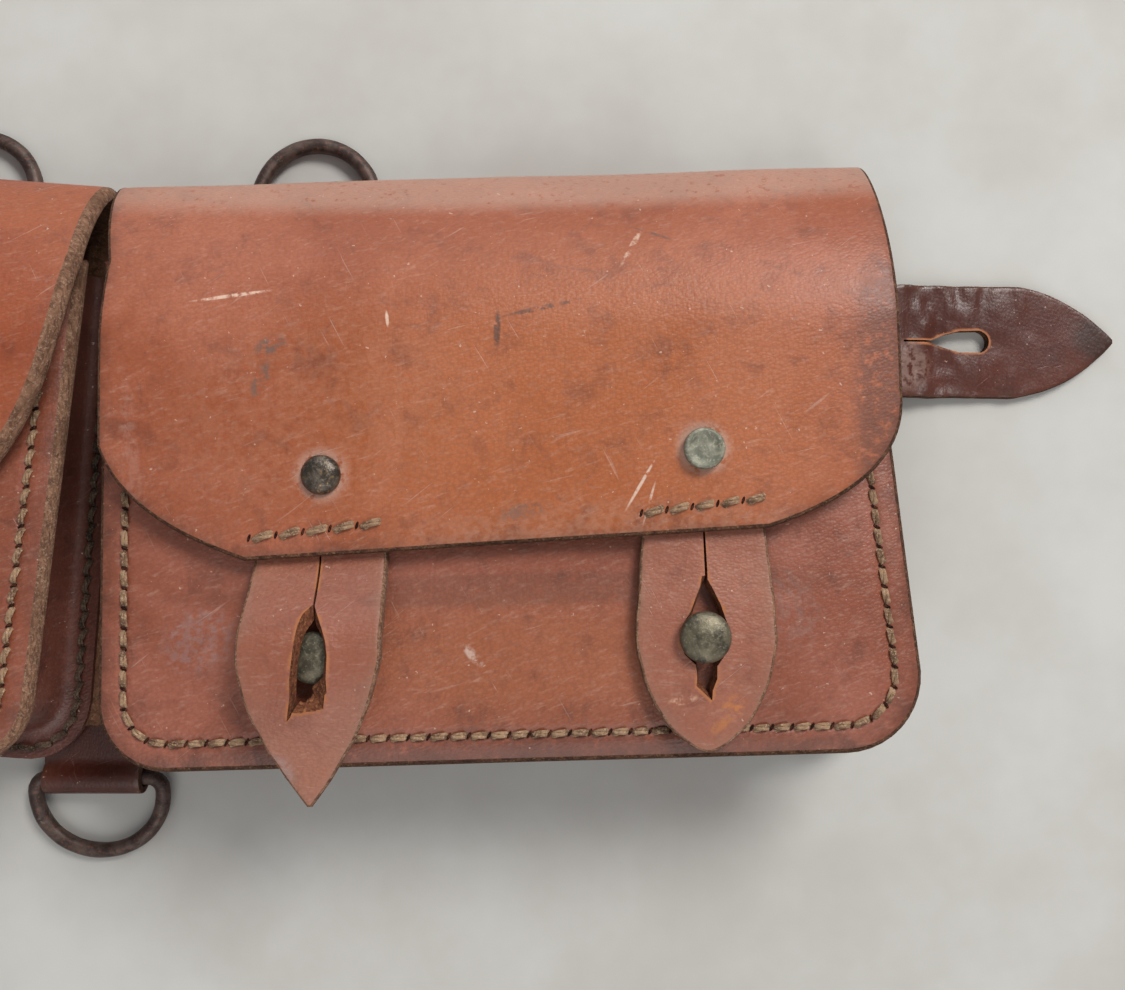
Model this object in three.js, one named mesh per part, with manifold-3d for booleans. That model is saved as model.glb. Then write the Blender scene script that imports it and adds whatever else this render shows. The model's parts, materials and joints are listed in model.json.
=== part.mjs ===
// Carpenter's double pouch for a tool belt, in heavy saddle leather, lying on its back with both flaps closed.
// Millimetres. +X runs along the belt to the right, +Y towards the fold that the flaps hang from, +Z out of the
// pouch fronts. The origin is at the centre of the object's box in X and Y, on the surface that it lies on.
//
// Each half is drawn in a frame of its own: u from the slot between the pouches outwards, v as Y, and z. The left
// half is the right one mirrored. Each half then turns a little about the notch at the top of the slot, which
// opens the slot towards the bottom.

import * as THREE from 'three';
import { mergeVertices } from 'three/addons/utils/BufferGeometryUtils.js';
import Module from 'manifold-3d';

const wasm = await Module();
wasm.setup();

// ---- Driving dimensions -------------------------------------------------------------------------------------

const LEATHER = 3; // back, flap and front
const STRAP_LEATHER = 2.8;
const GUSSET_LEATHER = 2.2;
const CHAPE_LEATHER = 2; // the folded tab that holds a ring
const GAP = 0.3; // clearance between pieces that touch
const SLIT = 0.8; // width of a knife slit
const BEYOND = 20; // how far a cutting shape runs past the piece that it cuts

const HALVES = [
	{
		name: 'right',
		mirrored: false,
		splay: 1.6,
		flapInner: { shoulder: [ 5.8, 54 ], start: [ 4.1, 10.8 ], control: [ 9, - 6 ], end: [ 37, - 16 ] },
		innerStrap: 'lifted',
	},
	{
		name: 'left',
		mirrored: true,
		splay: 4.5,
		flapInner: { shoulder: [ - 1.2, 56 ], start: [ - 0.5, 42 ], control: [ 4, 0 ], end: [ 37, - 16 ] },
		innerStrap: 'buttoned',
	},
];

const BACK = { rear: 6.6, bottom: - 70.5, outer: 194, rollStart: 62, corner: 20, shoulder: 52 };
// The flap leaves the fold's outermost line, at edge and height, upwards, and bends over to lie level at flat
const FOLD = { edge: 77, height: 21, inner: 0.5, outer: 186, flat: 36, steps: 9, rise: 6, over: [ 62, 46 ] };
const FLAP = { top: 49.3, outerStart: [ 186.6, 15.5 ], outerControl: [ 186, - 3 ], outerEnd: [ 155.4, - 11.8 ] };
const FRONT = {
	inner: 1, outerTop: 183, outerBottom: 190.5, top: 56, bottom: - 64,
	innerCorner: 16, outerCorner: 18,
	heightAtTop: 36, heightAtBottom: 47,
};
const WALL_INSET = 7.5; // from the front panel's edge to the gusset's wall
const SEAM_INSET = 6.5;
const THREAD = 1;
const THREAD_PROUD = 0.5;
const FLANGE_INSET = { front: 0.4, rear: 0.6 };
const REAR_SPREAD = { across: 1.023, along: 1.065 }; // how much wider the gusset is where it meets the back

const STRAPS = {
	inner: { centre: 53.6, rootWidth: 30.4, bend: - 16.5, rivet: [ 55, 2.9 ], stud: [ 52.8, - 38.1 ] },
	outer: { centre: 141, rootWidth: 28.6, bend: - 13.3, rivet: [ 141, 6.4 ], stud: [ 140, - 36 ] },
};
const STRAP = {
	width: 32, widestAt: 20, baseLength: 28, seamAbove: 6.6, slitBelow: 4,
	point: { bulge: 0.62, near: 0.86, spread: 0.4 },
};
// How each kind of strap lies: its length and lean, its slot, and its underside as [v, z] pairs
const STRAP_LIE = {
	lifted: {
		length: 57.5,
		lean: - 2.5,
		slot: { halfWidth: 3.6, halfLength: 11.5, below: - 0.5 },
		line: [ [ - 16.5, 43.2 ], [ - 21, 45.8 ], [ - 27, 51 ], [ - 32, 54.2 ], [ - 40, 54.9 ], [ - 48, 54 ],
			[ - 60, 51 ], [ - 78, 48.4 ] ],
	},
	buttoned: {
		length: 48.7,
		lean: - 1,
		slot: { halfWidth: 6.6, halfLength: 9.2, below: - 1 },
		line: [ [ 0, 43.2 ], [ - 20, 44.2 ], [ - 32, 46.2 ], [ - 42, 47 ], [ - 50, 47.6 ], [ - 80, 49.6 ] ],
	},
};
const STUD = {
	flange: 5, rim: 0.7, cone: 1.2, neck: 2.5, head: 5.8, headFrom: 5, rise: 4.5, shank: 1.8, washer: 1.2,
};
const RIVET = { cap: 4.6, rim: 0.7, rise: 2.3, shank: 1.6, burr: 4.2, washer: 0.8 };
const PEENED_END = { spread: 0.7, rise: 0.5, proud: 0.7 }; // the hammered end of a rivet or of a stud's shank

// A ring's place is the middle of its bar. The bottom ring hangs a little to the right of its chape's middle.
const TOP_RING = { at: [ 45.4, 72.5 ], width: 35, chapeWidth: 25, upwards: true, play: 0 };
const BOTTOM_RING = { at: [ - 13.4, - 75.5 ], width: 38, chapeWidth: 26, upwards: false, play: 0.8 };
const RING = { wire: 4, reach: 22.3, corner: 3.5, sides: 8, steps: 44 };
const CHAPE = { tail: 22, bore: 2.3 };
const CHAPE_SEAM = { margin: 3.5, from: 8, to: 19 };

const TAB = {
	centre: 35.5, width: 30, rootStart: 178, bend: 199, drop: 13, tip: 258.5, lean: - 1.5, seamMargin: 4,
	slotEnd: 26, slotWidth: 6, slotLength: 16, slitLength: 7,
	point: { shoulder: 0.5, bulge: 0.68, near: 0.86, spread: 0.45 },
};

const MERGE = 1e-4; // points closer than this are one point
const ROUND_SIDES = 16;
const CURVE_STEPS = 6;

// ---- Materials ----------------------------------------------------------------------------------------------

function finish( colour, roughness, metalness = 0 ) {

	return new THREE.MeshStandardMaterial( { color: colour, roughness, metalness } );

}

const FINISHES = {
	flapLeather: () => finish( 0x9c4a26, 0.5 ),
	frontLeather: () => finish( 0x7f3a24, 0.42 ),
	gussetLeather: () => finish( 0x5f2e26, 0.6 ),
	strapLeather: () => finish( 0x94482f, 0.5 ),
	thread: () => finish( 0xb08d66, 0.9 ),
	bronze: () => finish( 0x5b5340, 0.45, 0.9 ),
	ironWire: () => finish( 0x4a3128, 0.6, 0.8 ),
};

// ---- Small tools for shapes ---------------------------------------------------------------------------------

const radians = THREE.MathUtils.degToRad;

function outline( points ) {

	return new THREE.Shape( points.map( ( [ x, y ] ) => new THREE.Vector2( x, y ) ) );

}

// A flat plan shape raised from one height to another
function plate( shape, low, high ) {

	const options = { depth: high - low, bevelEnabled: false, curveSegments: CURVE_STEPS };
	return new THREE.ExtrudeGeometry( shape, options ).translate( 0, 0, low );

}

// A side profile, drawn as [v, z], drawn out along u
function alongU( shape, from, to ) {

	const options = { depth: to - from, bevelEnabled: false, curveSegments: CURVE_STEPS };
	const axes = new THREE.Matrix4().makeBasis(
		new THREE.Vector3( 0, 1, 0 ), new THREE.Vector3( 0, 0, 1 ), new THREE.Vector3( 1, 0, 0 ) );
	return new THREE.ExtrudeGeometry( shape, options ).applyMatrix4( axes ).translate( from, 0, 0 );

}

// A side profile, drawn as [u, z], drawn out along v
function alongV( shape, from, to ) {

	const options = { depth: to - from, bevelEnabled: false, curveSegments: CURVE_STEPS };
	const axes = new THREE.Matrix4().makeBasis(
		new THREE.Vector3( 1, 0, 0 ), new THREE.Vector3( 0, 0, 1 ), new THREE.Vector3( 0, - 1, 0 ) );
	return new THREE.ExtrudeGeometry( shape, options ).applyMatrix4( axes ).translate( 0, to, 0 );

}

// A round piece from its [radius, height] profile, standing on +Z
function turned( profile ) {

	const points = profile.map( ( [ r, h ] ) => new THREE.Vector2( r, h ) );
	return new THREE.LatheGeometry( points, ROUND_SIDES ).rotateX( Math.PI / 2 );

}

function drill( radius, low, high ) {

	return turned( [ [ 0, low ], [ radius, low ], [ radius, high ], [ 0, high ] ] );

}

// The sheet of leather under a line of its outer face: the line, then the same line a thickness further in
function thicken( line, thickness ) {

	const inner = line.map( ( point, i ) => {

		const before = line[ Math.max( i - 1, 0 ) ];
		const after = line[ Math.min( i + 1, line.length - 1 ) ];
		const run = new THREE.Vector2( after[ 0 ] - before[ 0 ], after[ 1 ] - before[ 1 ] ).normalize();
		return [ point[ 0 ] - run.y * thickness, point[ 1 ] + run.x * thickness ];

	} );
	return outline( [ ...line, ...inner.reverse() ] );

}

// Points of a quarter or part of an ellipse, from one angle to another, in degrees
function arc( centre, across, along, from, to, steps = CURVE_STEPS ) {

	return Array.from( { length: steps + 1 }, ( _, i ) => {

		const angle = radians( from + ( to - from ) * i / steps );
		return [ centre[ 0 ] + across * Math.cos( angle ), centre[ 1 ] + along * Math.sin( angle ) ];

	} );

}

function solid( geometry ) {

	const bare = geometry.clone();
	bare.deleteAttribute( 'normal' );
	bare.deleteAttribute( 'uv' );
	const merged = mergeVertices( bare, MERGE );
	const mesh = new wasm.Mesh( {
		numProp: 3,
		vertProperties: new Float32Array( merged.attributes.position.array ),
		triVerts: new Uint32Array( merged.index.array ),
	} );
	return new wasm.Manifold( mesh );

}

function surface( manifold ) {

	const mesh = manifold.getMesh();
	const geometry = new THREE.BufferGeometry();
	geometry.setAttribute( 'position', new THREE.BufferAttribute( new Float32Array( mesh.vertProperties ), 3 ) );
	geometry.setIndex( new THREE.BufferAttribute( new Uint32Array( mesh.triVerts ), 1 ) );
	return geometry;

}

function common( a, b ) {

	return surface( solid( a ).intersect( solid( b ) ) );

}

function join( ...geometries ) {

	return surface( geometries.map( solid ).reduce( ( whole, next ) => whole.add( next ) ) );

}

function cut( geometry, ...tools ) {

	return surface( tools.map( solid ).reduce( ( rest, tool ) => rest.subtract( tool ), solid( geometry ) ) );

}

// The other hand of a piece, with its faces turned to point out again
function mirror( geometry ) {

	const flipped = mergeVertices( geometry, MERGE );
	flipped.scale( - 1, 1, 1 );
	const index = flipped.index.array;
	for ( let i = 0; i < index.length; i += 3 ) {

		[ index[ i + 1 ], index[ i + 2 ] ] = [ index[ i + 2 ], index[ i + 1 ] ];

	}

	return flipped;

}

// ---- The front panel's own plane ----------------------------------------------------------------------------

const FRONT_SLOPE = ( FRONT.heightAtBottom - FRONT.heightAtTop ) / ( FRONT.top - FRONT.bottom );
const FRONT_TILT = - Math.atan( FRONT_SLOPE );

function frontHeight( v ) {

	return FRONT.heightAtTop + ( FRONT.top - v ) * FRONT_SLOPE;

}

// Lays a piece drawn on the plane z = 0 onto the front panel's outer face
function ontoFront( geometry ) {

	return geometry.translate( 0, - FRONT.top, 0 ).rotateX( FRONT_TILT )
		.translate( 0, FRONT.top, FRONT.heightAtTop );

}

// Stands a round piece on the front panel's outer face at [u, v]
function standOnFront( geometry, [ u, v ] ) {

	return geometry.rotateX( FRONT_TILT ).translate( u, v, frontHeight( v ) );

}

// ---- Pouch outline ------------------------------------------------------------------------------------------

// Down the inner side, round the bottom and up the outer side of the front panel, a distance in from its edge
function pouchEdge( inset ) {

	const left = FRONT.inner + inset;
	const right = FRONT.outerBottom - inset;
	const bottom = FRONT.bottom + inset;
	const inner = Math.max( FRONT.innerCorner - inset, 2 );
	const outer = FRONT.outerCorner - inset;
	return [
		[ left, FRONT.top ],
		...arc( [ left + inner, bottom + inner ], inner, inner, 180, 270 ),
		...arc( [ right - outer, bottom + outer ], outer, outer, 270, 360 ),
		[ FRONT.outerTop - inset, FRONT.top ],
	];

}

function pouchBand( outerInset, innerInset ) {

	return [ ...pouchEdge( outerInset ), ...pouchEdge( innerInset ).reverse() ];

}

// Where a point of the gusset's front edge comes to at its rear edge
function spreadToRear( [ u, v ] ) {

	const fixed = FRONT.inner + WALL_INSET;
	return [
		fixed + ( u - fixed ) * REAR_SPREAD.across,
		FRONT.top + ( v - FRONT.top ) * REAR_SPREAD.along,
	];

}

// ---- Body of the pouch --------------------------------------------------------------------------------------

function backPanel( half ) {

	const slope = Math.tan( radians( half.splay ) );
	const innerAt = ( v ) => GAP + ( v - FOLD.edge ) * slope;
	const plan = outline( [
		[ innerAt( BACK.bottom ), BACK.bottom ],
		...arc( [ BACK.outer - BACK.corner, BACK.bottom + BACK.corner ], BACK.corner, BACK.corner, 270, 360 ),
		[ BACK.outer, BACK.shoulder ],
		[ FOLD.outer, BACK.rollStart ],
		[ FOLD.outer, FOLD.edge + 1 ],
		[ innerAt( FOLD.edge + 1 ), FOLD.edge + 1 ],
	] );
	const rollCentre = [ BACK.rollStart, FOLD.height ];
	const roll = arc( rollCentre, FOLD.edge - BACK.rollStart, FOLD.height - BACK.rear, 270, 360 );
	const line = [ [ BACK.bottom - BEYOND, BACK.rear ], ...roll, [ FOLD.edge, FOLD.height + LEATHER ] ];
	const sheet = alongU( thicken( line, LEATHER ), - BEYOND, BACK.outer + BEYOND );
	return common( sheet, plate( plan, 0, FOLD.height - GAP / 2 ) );

}

function flap( half ) {

	const { shoulder, start, control, end } = half.flapInner;
	const plan = new THREE.Shape();
	plan.moveTo( FOLD.inner, FOLD.edge + 1 );
	plan.lineTo( ...shoulder );
	plan.lineTo( ...start );
	plan.quadraticCurveTo( ...control, ...end );
	plan.lineTo( ...FLAP.outerEnd );
	plan.quadraticCurveTo( ...FLAP.outerControl, ...FLAP.outerStart );
	plan.lineTo( FOLD.outer, FOLD.edge + 1 );

	const roll = new THREE.CubicBezierCurve(
		new THREE.Vector2( FOLD.edge, FOLD.height ),
		new THREE.Vector2( FOLD.edge, FOLD.height + FOLD.rise ),
		new THREE.Vector2( ...FOLD.over ),
		new THREE.Vector2( FOLD.flat, FLAP.top ),
	).getPoints( FOLD.steps ).map( ( point ) => point.toArray() );
	const line = [ [ FOLD.edge, FOLD.height - LEATHER ], ...roll, [ - 2 * BEYOND, FLAP.top ] ];
	const sheet = alongU( thicken( line, LEATHER ), - BEYOND, FOLD.outer + BEYOND );
	const rivets = Object.values( STRAPS ).map( ( strap ) => rivetHole( strap ) );
	const low = FOLD.height + GAP / 2;
	return cut( common( sheet, plate( plan, low, FLAP.top + BEYOND ) ), ...rivets );

}

function rivetHole( strap ) {

	return drill( RIVET.shank + GAP, FOLD.height, FLAP.top + BEYOND ).translate( ...strap.rivet, 0 );

}

function frontPanel() {

	const panel = ontoFront( plate( outline( pouchEdge( 0 ) ), - LEATHER, 0 ) );
	const holes = Object.values( STRAPS ).map(
		( strap ) => standOnFront( drill( STUD.shank + GAP, - 2 * LEATHER, LEATHER ), strap.stud ) );
	return cut( panel, ...holes );

}

function gusset() {

	const rear = BACK.rear + LEATHER + GAP;
	const wallBand = pouchBand( WALL_INSET, WALL_INSET + GUSSET_LEATHER );
	const wall = plate( outline( wallBand ), rear, FRONT.heightAtBottom );
	const position = wall.attributes.position;
	for ( let i = 0; i < position.count; i ++ ) {

		if ( position.getZ( i ) > rear + GAP ) continue;
		const [ u, v ] = spreadToRear( [ position.getX( i ), position.getY( i ) ] );
		position.setXY( i, u, v );

	}

	const far = FRONT.top + BEYOND;
	const under = LEATHER + GAP;
	const belowFront = alongU( outline( [
		[ - far, 0 ],
		[ far, 0 ],
		[ far, frontHeight( far ) - under ],
		[ - far, frontHeight( - far ) - under ],
	] ), - BEYOND, BACK.outer + BEYOND );

	const flangeEnd = WALL_INSET + GUSSET_LEATHER;
	const frontBand = outline( pouchBand( FLANGE_INSET.front, flangeEnd ) );
	const frontFlange = ontoFront( plate( frontBand, - under - GUSSET_LEATHER, - under ) );
	const rearBand = pouchBand( FLANGE_INSET.rear, flangeEnd ).map( spreadToRear );
	const rearFlange = plate( outline( rearBand ), rear, rear + GUSSET_LEATHER );
	return join( common( wall, belowFront ), frontFlange, rearFlange );

}

function frontSeam() {

	const band = outline( pouchBand( SEAM_INSET - THREAD / 2, SEAM_INSET + THREAD / 2 ) );
	return ontoFront( plate( band, GAP, GAP + THREAD_PROUD ) );

}

function rearSeam() {

	const inset = WALL_INSET / 2;
	const band = pouchBand( inset - THREAD / 2, inset + THREAD / 2 ).map( spreadToRear );
	const low = BACK.rear + LEATHER + GUSSET_LEATHER + 2 * GAP;
	return plate( outline( band ), low, low + THREAD_PROUD );

}

// ---- Closing straps -----------------------------------------------------------------------------------------

// The strap's plan, from its bend at the flap's edge to its point, with the slit and slot for the stud
function strapPlan( strap, lie ) {

	const root = strap.rootWidth / 2;
	const wide = STRAP.width / 2;
	const tip = - lie.length;
	const { bulge, near, spread } = STRAP.point;
	const shape = new THREE.Shape();
	shape.moveTo( - root, 0 );
	shape.lineTo( - wide, - STRAP.widestAt );
	shape.bezierCurveTo( - wide, tip * bulge, - wide * spread, tip * near, 0, tip );
	shape.bezierCurveTo( wide * spread, tip * near, wide, tip * bulge, wide, - STRAP.widestAt );
	shape.lineTo( root, 0 );

	const { halfWidth, halfLength, below } = lie.slot;
	const centre = strap.stud[ 1 ] - strap.bend + below;
	const mouth = 5; // degrees of the slot's round that the slit takes on each side
	const slot = arc( [ 0, centre ], halfWidth, halfLength, 90 + mouth, 450 - mouth, 2 * CURVE_STEPS );
	const hole = [ [ - SLIT / 2, - STRAP.slitBelow ], ...slot, [ SLIT / 2, - STRAP.slitBelow ] ];
	shape.holes.push( outline( hole ) );
	return shape;

}

function closingStrap( strap, lie ) {

	const line = lie.line.filter( ( [ v ] ) => v < strap.bend - SLIT );
	line.unshift( [ strap.bend - GAP, lie.line[ 0 ][ 1 ] ] );
	const top = line.map( ( [ v, z ] ) => [ v, z + STRAP_LEATHER ] );
	const sheet = alongU( outline( [ ...line, ...top.reverse() ] ), - BEYOND, BACK.outer );
	const plan = plate( strapPlan( strap, lie ), FOLD.height, FLAP.top + BEYOND ).rotateZ( radians( lie.lean ) )
		.translate( strap.centre, strap.bend, 0 );
	return common( sheet, plan );

}

// The part of the strap that is sewn and riveted under the flap
function strapBase( strap ) {

	const half = strap.rootWidth / 2;
	const shape = outline( [
		[ strap.centre - half, strap.bend ],
		[ strap.centre + half, strap.bend ],
		[ strap.centre + half, strap.bend + STRAP.baseLength ],
		[ strap.centre - half, strap.bend + STRAP.baseLength ],
	] );
	const top = FLAP.top - LEATHER - GAP;
	return cut( plate( shape, top - STRAP_LEATHER, top ), rivetHole( strap ) );

}

function strapSeam( strap ) {

	const half = strap.rootWidth / 2;
	const v = strap.bend + STRAP.seamAbove;
	const shape = outline( [
		[ strap.centre - half, v ],
		[ strap.centre + half, v ],
		[ strap.centre + half, v + THREAD ],
		[ strap.centre - half, v + THREAD ],
	] );
	return plate( shape, FLAP.top + GAP, FLAP.top + GAP + THREAD_PROUD );

}

// The foot of a shank: a small hammered head, from its end up to where the plain shank starts
function peenedFoot( shank, end ) {

	const { spread, rise } = PEENED_END;
	return [ [ 0, end ], [ shank + spread, end ], [ shank + spread, end + rise ], [ shank, end + rise ] ];

}

function rivet( strap ) {

	const { cap, rim, rise, shank, washer: burrHeight } = RIVET;
	const seat = FLAP.top + GAP;
	const end = FLAP.top - LEATHER - STRAP_LEATHER - 3 * GAP - burrHeight - PEENED_END.proud;
	const dome = arc( [ 0, seat + rim ], cap, rise - rim, 0, 90, 3 );
	return turned( [ ...peenedFoot( shank, end ), [ shank, seat ], [ cap, seat ], ...dome ] )
		.translate( ...strap.rivet, 0 );

}

function rivetBurr( strap ) {

	const top = FLAP.top - LEATHER - STRAP_LEATHER - 2 * GAP;
	return washer( RIVET.shank + GAP, RIVET.burr, top - RIVET.washer, top ).translate( ...strap.rivet, 0 );

}

function washer( inner, outer, low, high ) {

	return turned( [ [ inner, low ], [ outer, low ], [ outer, high ], [ inner, high ], [ inner, low ] ] );

}

function stud( strap ) {

	const { flange, rim, cone, neck, head, headFrom, rise, shank, washer: washerHeight } = STUD;
	const end = - LEATHER - 2 * GAP - washerHeight - PEENED_END.proud;
	const crown = arc( [ 0, headFrom + rise / 3 ], head, rise * 2 / 3, 0, 90, 3 );
	return standOnFront( turned( [
		...peenedFoot( shank, end ),
		[ shank, GAP ], [ flange, GAP ], [ flange, GAP + rim ], [ neck, GAP + cone ],
		[ neck, headFrom ], [ head * 0.8, headFrom + GAP ], ...crown,
	] ), strap.stud );

}

function studWasher( strap ) {

	const high = - LEATHER - GAP;
	return standOnFront( washer( STUD.shank + GAP, STUD.flange, high - STUD.washer, high ), strap.stud );

}

// ---- Rings and the tabs that hold them ----------------------------------------------------------------------

// A bent wire ring with a straight bar on the u axis and its round end towards +v. Its two cut ends meet in the
// middle of the bar, hidden in the chape.
function ringWire( width ) {

	const { wire, reach, corner, sides, steps } = RING;
	const half = ( width - wire ) / 2;
	const shoulder = corner + 1;
	const crown = reach - wire / 2 - shoulder;
	const points = [
		[ - GAP / 2, 0 ],
		[ - half / 2, 0 ],
		...arc( [ - half + corner, corner ], corner, corner, 270, 180, 3 ),
		...arc( [ 0, shoulder ], half, crown, 180, 0, 2 * CURVE_STEPS ),
		...arc( [ half - corner, corner ], corner, corner, 0, - 90, 3 ),
		[ half / 2, 0 ],
		[ GAP / 2, 0 ],
	].map( ( [ x, y ] ) => new THREE.Vector3( x, y, 0 ) );
	const path = new THREE.CatmullRomCurve3( points, false, 'centripetal' );
	const section = outline( arc( [ 0, 0 ], wire / 2, wire / 2, 0, 360 - 360 / sides, sides - 1 ) );
	return new THREE.ExtrudeGeometry( section, { steps, extrudePath: path, bevelEnabled: false } );

}

// The bar's height leaves the chape's loop on the ground, and the ring leans down from it to the ground
const BAR_HEIGHT = CHAPE.bore + CHAPE_LEATHER;
const RING_DROP = Math.asin( ( BAR_HEIGHT - RING.wire / 2 ) / ( RING.reach - RING.wire / 2 ) );

// Turns a piece drawn for a ring that points towards +v to the way the ring points, and puts it at the ring's bar
function atBar( piece, { at, upwards }, shift = 0 ) {

	if ( ! upwards ) piece.rotateZ( Math.PI );
	return piece.translate( at[ 0 ] + shift, at[ 1 ], BAR_HEIGHT );

}

function ring( kind ) {

	return atBar( ringWire( kind.width ).rotateX( - RING_DROP ), kind, kind.play );

}

// One strip of leather folded round the ring's bar, its two tails together behind the back panel
function chape( kind ) {

	const outer = CHAPE.bore + CHAPE_LEATHER;
	const open = Math.asin( CHAPE_LEATHER / outer );
	const profile = new THREE.Shape();
	profile.moveTo( - CHAPE.tail, - CHAPE_LEATHER );
	profile.absarc( 0, 0, outer, Math.PI + open, 3 * Math.PI - open, false );
	profile.lineTo( - CHAPE.tail, CHAPE_LEATHER );
	const bore = new THREE.Path();
	bore.absarc( 0, 0, CHAPE.bore, 0, 2 * Math.PI, true );
	profile.holes.push( bore );
	return atBar( alongU( profile, - kind.chapeWidth / 2, kind.chapeWidth / 2 ), kind );

}

// A box of stitches through both tails and the back panel
function chapeSeam( kind ) {

	const { margin, from, to } = CHAPE_SEAM;
	const half = kind.chapeWidth / 2 - margin;
	const high = - CHAPE_LEATHER - GAP;
	return atBar( plate( stitchBox( - half, half, - to, - from ), high - THREAD_PROUD, high ), kind );

}

// A closed run of stitching round a box
function stitchBox( left, right, bottom, top ) {

	const box = ( inset ) => outline( [
		[ left + inset, bottom + inset ],
		[ right - inset, bottom + inset ],
		[ right - inset, top - inset ],
		[ left + inset, top - inset ],
	] );
	const shape = box( 0 );
	shape.holes.push( box( THREAD ) );
	return shape;

}

// ---- End tab ------------------------------------------------------------------------------------------------

const TAB_TOP = BACK.rear - GAP;

// The root and the free end meet edge to edge in a crease, so both are bevelled there from both faces
function tabRoot() {

	const half = TAB.width / 2;
	const low = TAB_TOP - LEATHER;
	const profile = outline( [
		[ TAB.rootStart, low ],
		[ TAB.bend - LEATHER / 2, low ],
		[ TAB.bend, TAB_TOP - LEATHER / 2 ],
		[ TAB.bend - LEATHER / 2, TAB_TOP ],
		[ TAB.rootStart, TAB_TOP ],
	] );
	return alongV( profile, TAB.centre - half, TAB.centre + half );

}

function tabSeam() {

	const margin = TAB.seamMargin;
	const half = TAB.width / 2 - margin;
	const high = TAB_TOP - LEATHER - GAP;
	const box = stitchBox( TAB.rootStart + margin, BACK.outer - margin, TAB.centre - half, TAB.centre + half );
	return plate( box, high - THREAD_PROUD, high );

}

// The free end of the tab: it drops to the ground as it leaves the back, and has a keyhole and a pointed tip
function tabTongue() {

	const start = TAB.bend + GAP;
	const full = start + LEATHER / 2;
	const flat = start + TAB.drop;
	const profile = outline( [
		[ start, TAB_TOP - LEATHER / 2 ],
		[ full, TAB_TOP - LEATHER ],
		[ flat, 0 ],
		[ TAB.tip + BEYOND, 0 ],
		[ TAB.tip + BEYOND, LEATHER ],
		[ flat, LEATHER ],
		[ full, TAB_TOP ],
	] );
	const half = TAB.width / 2;
	const length = TAB.tip - start;
	const { shoulder, bulge, near, spread } = TAB.point;
	const plan = new THREE.Shape();
	plan.moveTo( 0, - half );
	plan.lineTo( length * shoulder, - half );
	plan.bezierCurveTo( length * bulge, - half, length * near, - half * spread, length, 0 );
	plan.bezierCurveTo( length * near, half * spread, length * bulge, half, length * shoulder, half );
	plan.lineTo( 0, half );

	const radius = TAB.slotWidth / 2;
	const slotStart = TAB.slotEnd - TAB.slotLength;
	plan.holes.push( outline( [
		[ slotStart - TAB.slitLength, - SLIT / 2 ],
		[ slotStart, - SLIT / 2 ],
		[ slotStart + radius, - radius ],
		...arc( [ TAB.slotEnd - radius, 0 ], radius, radius, - 90, 90 ),
		[ slotStart + radius, radius ],
		[ slotStart, SLIT / 2 ],
		[ slotStart - TAB.slitLength, SLIT / 2 ],
	] ) );
	const cutter = plate( plan, - BEYOND, BEYOND ).rotateZ( radians( TAB.lean ) )
		.translate( start, TAB.centre, 0 );
	const blank = alongV( profile, TAB.centre - TAB.width, TAB.centre + TAB.width );
	return common( blank, cutter );

}

// ---- Assembly -----------------------------------------------------------------------------------------------

function addPiece( group, half, name, geometry, material ) {

	const mesh = new THREE.Mesh( half.mirrored ? mirror( geometry ) : geometry, material );
	mesh.name = name;
	group.add( mesh );

}

function strapPieces( add, half, side ) {

	const strap = STRAPS[ side ];
	const lie = STRAP_LIE[ side === 'inner' ? half.innerStrap : 'buttoned' ];
	add( `${side}_strap_base`, strapBase( strap ), FINISHES.strapLeather() );
	add( `${side}_strap`, closingStrap( strap, lie ), FINISHES.strapLeather() );
	add( `${side}_strap_seam`, strapSeam( strap ), FINISHES.thread() );
	add( `${side}_rivet`, rivet( strap ), FINISHES.bronze() );
	add( `${side}_rivet_burr`, rivetBurr( strap ), FINISHES.bronze() );
	add( `${side}_stud`, stud( strap ), FINISHES.bronze() );
	add( `${side}_stud_washer`, studWasher( strap ), FINISHES.bronze() );

}

function buildHalf( half ) {

	const group = new THREE.Group();
	const add = ( name, geometry, material ) => {

		addPiece( group, half, `${half.name}_${name}`, geometry, material );

	};

	add( 'back_panel', backPanel( half ), FINISHES.flapLeather() );
	add( 'flap', flap( half ), FINISHES.flapLeather() );
	add( 'front_panel', frontPanel(), FINISHES.frontLeather() );
	add( 'gusset', gusset(), FINISHES.gussetLeather() );
	add( 'front_seam', frontSeam(), FINISHES.thread() );
	add( 'rear_seam', rearSeam(), FINISHES.thread() );
	strapPieces( add, half, 'inner' );
	strapPieces( add, half, 'outer' );
	add( 'end_tab_root', tabRoot(), FINISHES.strapLeather() );
	add( 'end_tab_seam', tabSeam(), FINISHES.thread() );
	add( 'end_tab', tabTongue(), FINISHES.strapLeather() );
	add( 'top_ring', ring( TOP_RING ), FINISHES.ironWire() );
	add( 'top_chape', chape( TOP_RING ), FINISHES.strapLeather() );
	add( 'top_chape_seam', chapeSeam( TOP_RING ), FINISHES.thread() );

	// Turn the half about the notch at the top of the slot
	const turn = radians( half.mirrored ? - half.splay : half.splay );
	group.position.set( 0, FOLD.edge, 0 );
	group.rotation.z = turn;
	group.children.forEach( ( mesh ) => mesh.position.set( 0, - FOLD.edge, 0 ) );
	return group;

}

// The bottom ring hangs square in the middle of the belt
function buildBottomRing() {

	const group = new THREE.Group();
	const square = { mirrored: false };
	addPiece( group, square, 'bottom_ring', ring( BOTTOM_RING ), FINISHES.ironWire() );
	addPiece( group, square, 'bottom_chape', chape( BOTTOM_RING ), FINISHES.strapLeather() );
	addPiece( group, square, 'bottom_chape_seam', chapeSeam( BOTTOM_RING ), FINISHES.thread() );
	return group;

}

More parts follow.
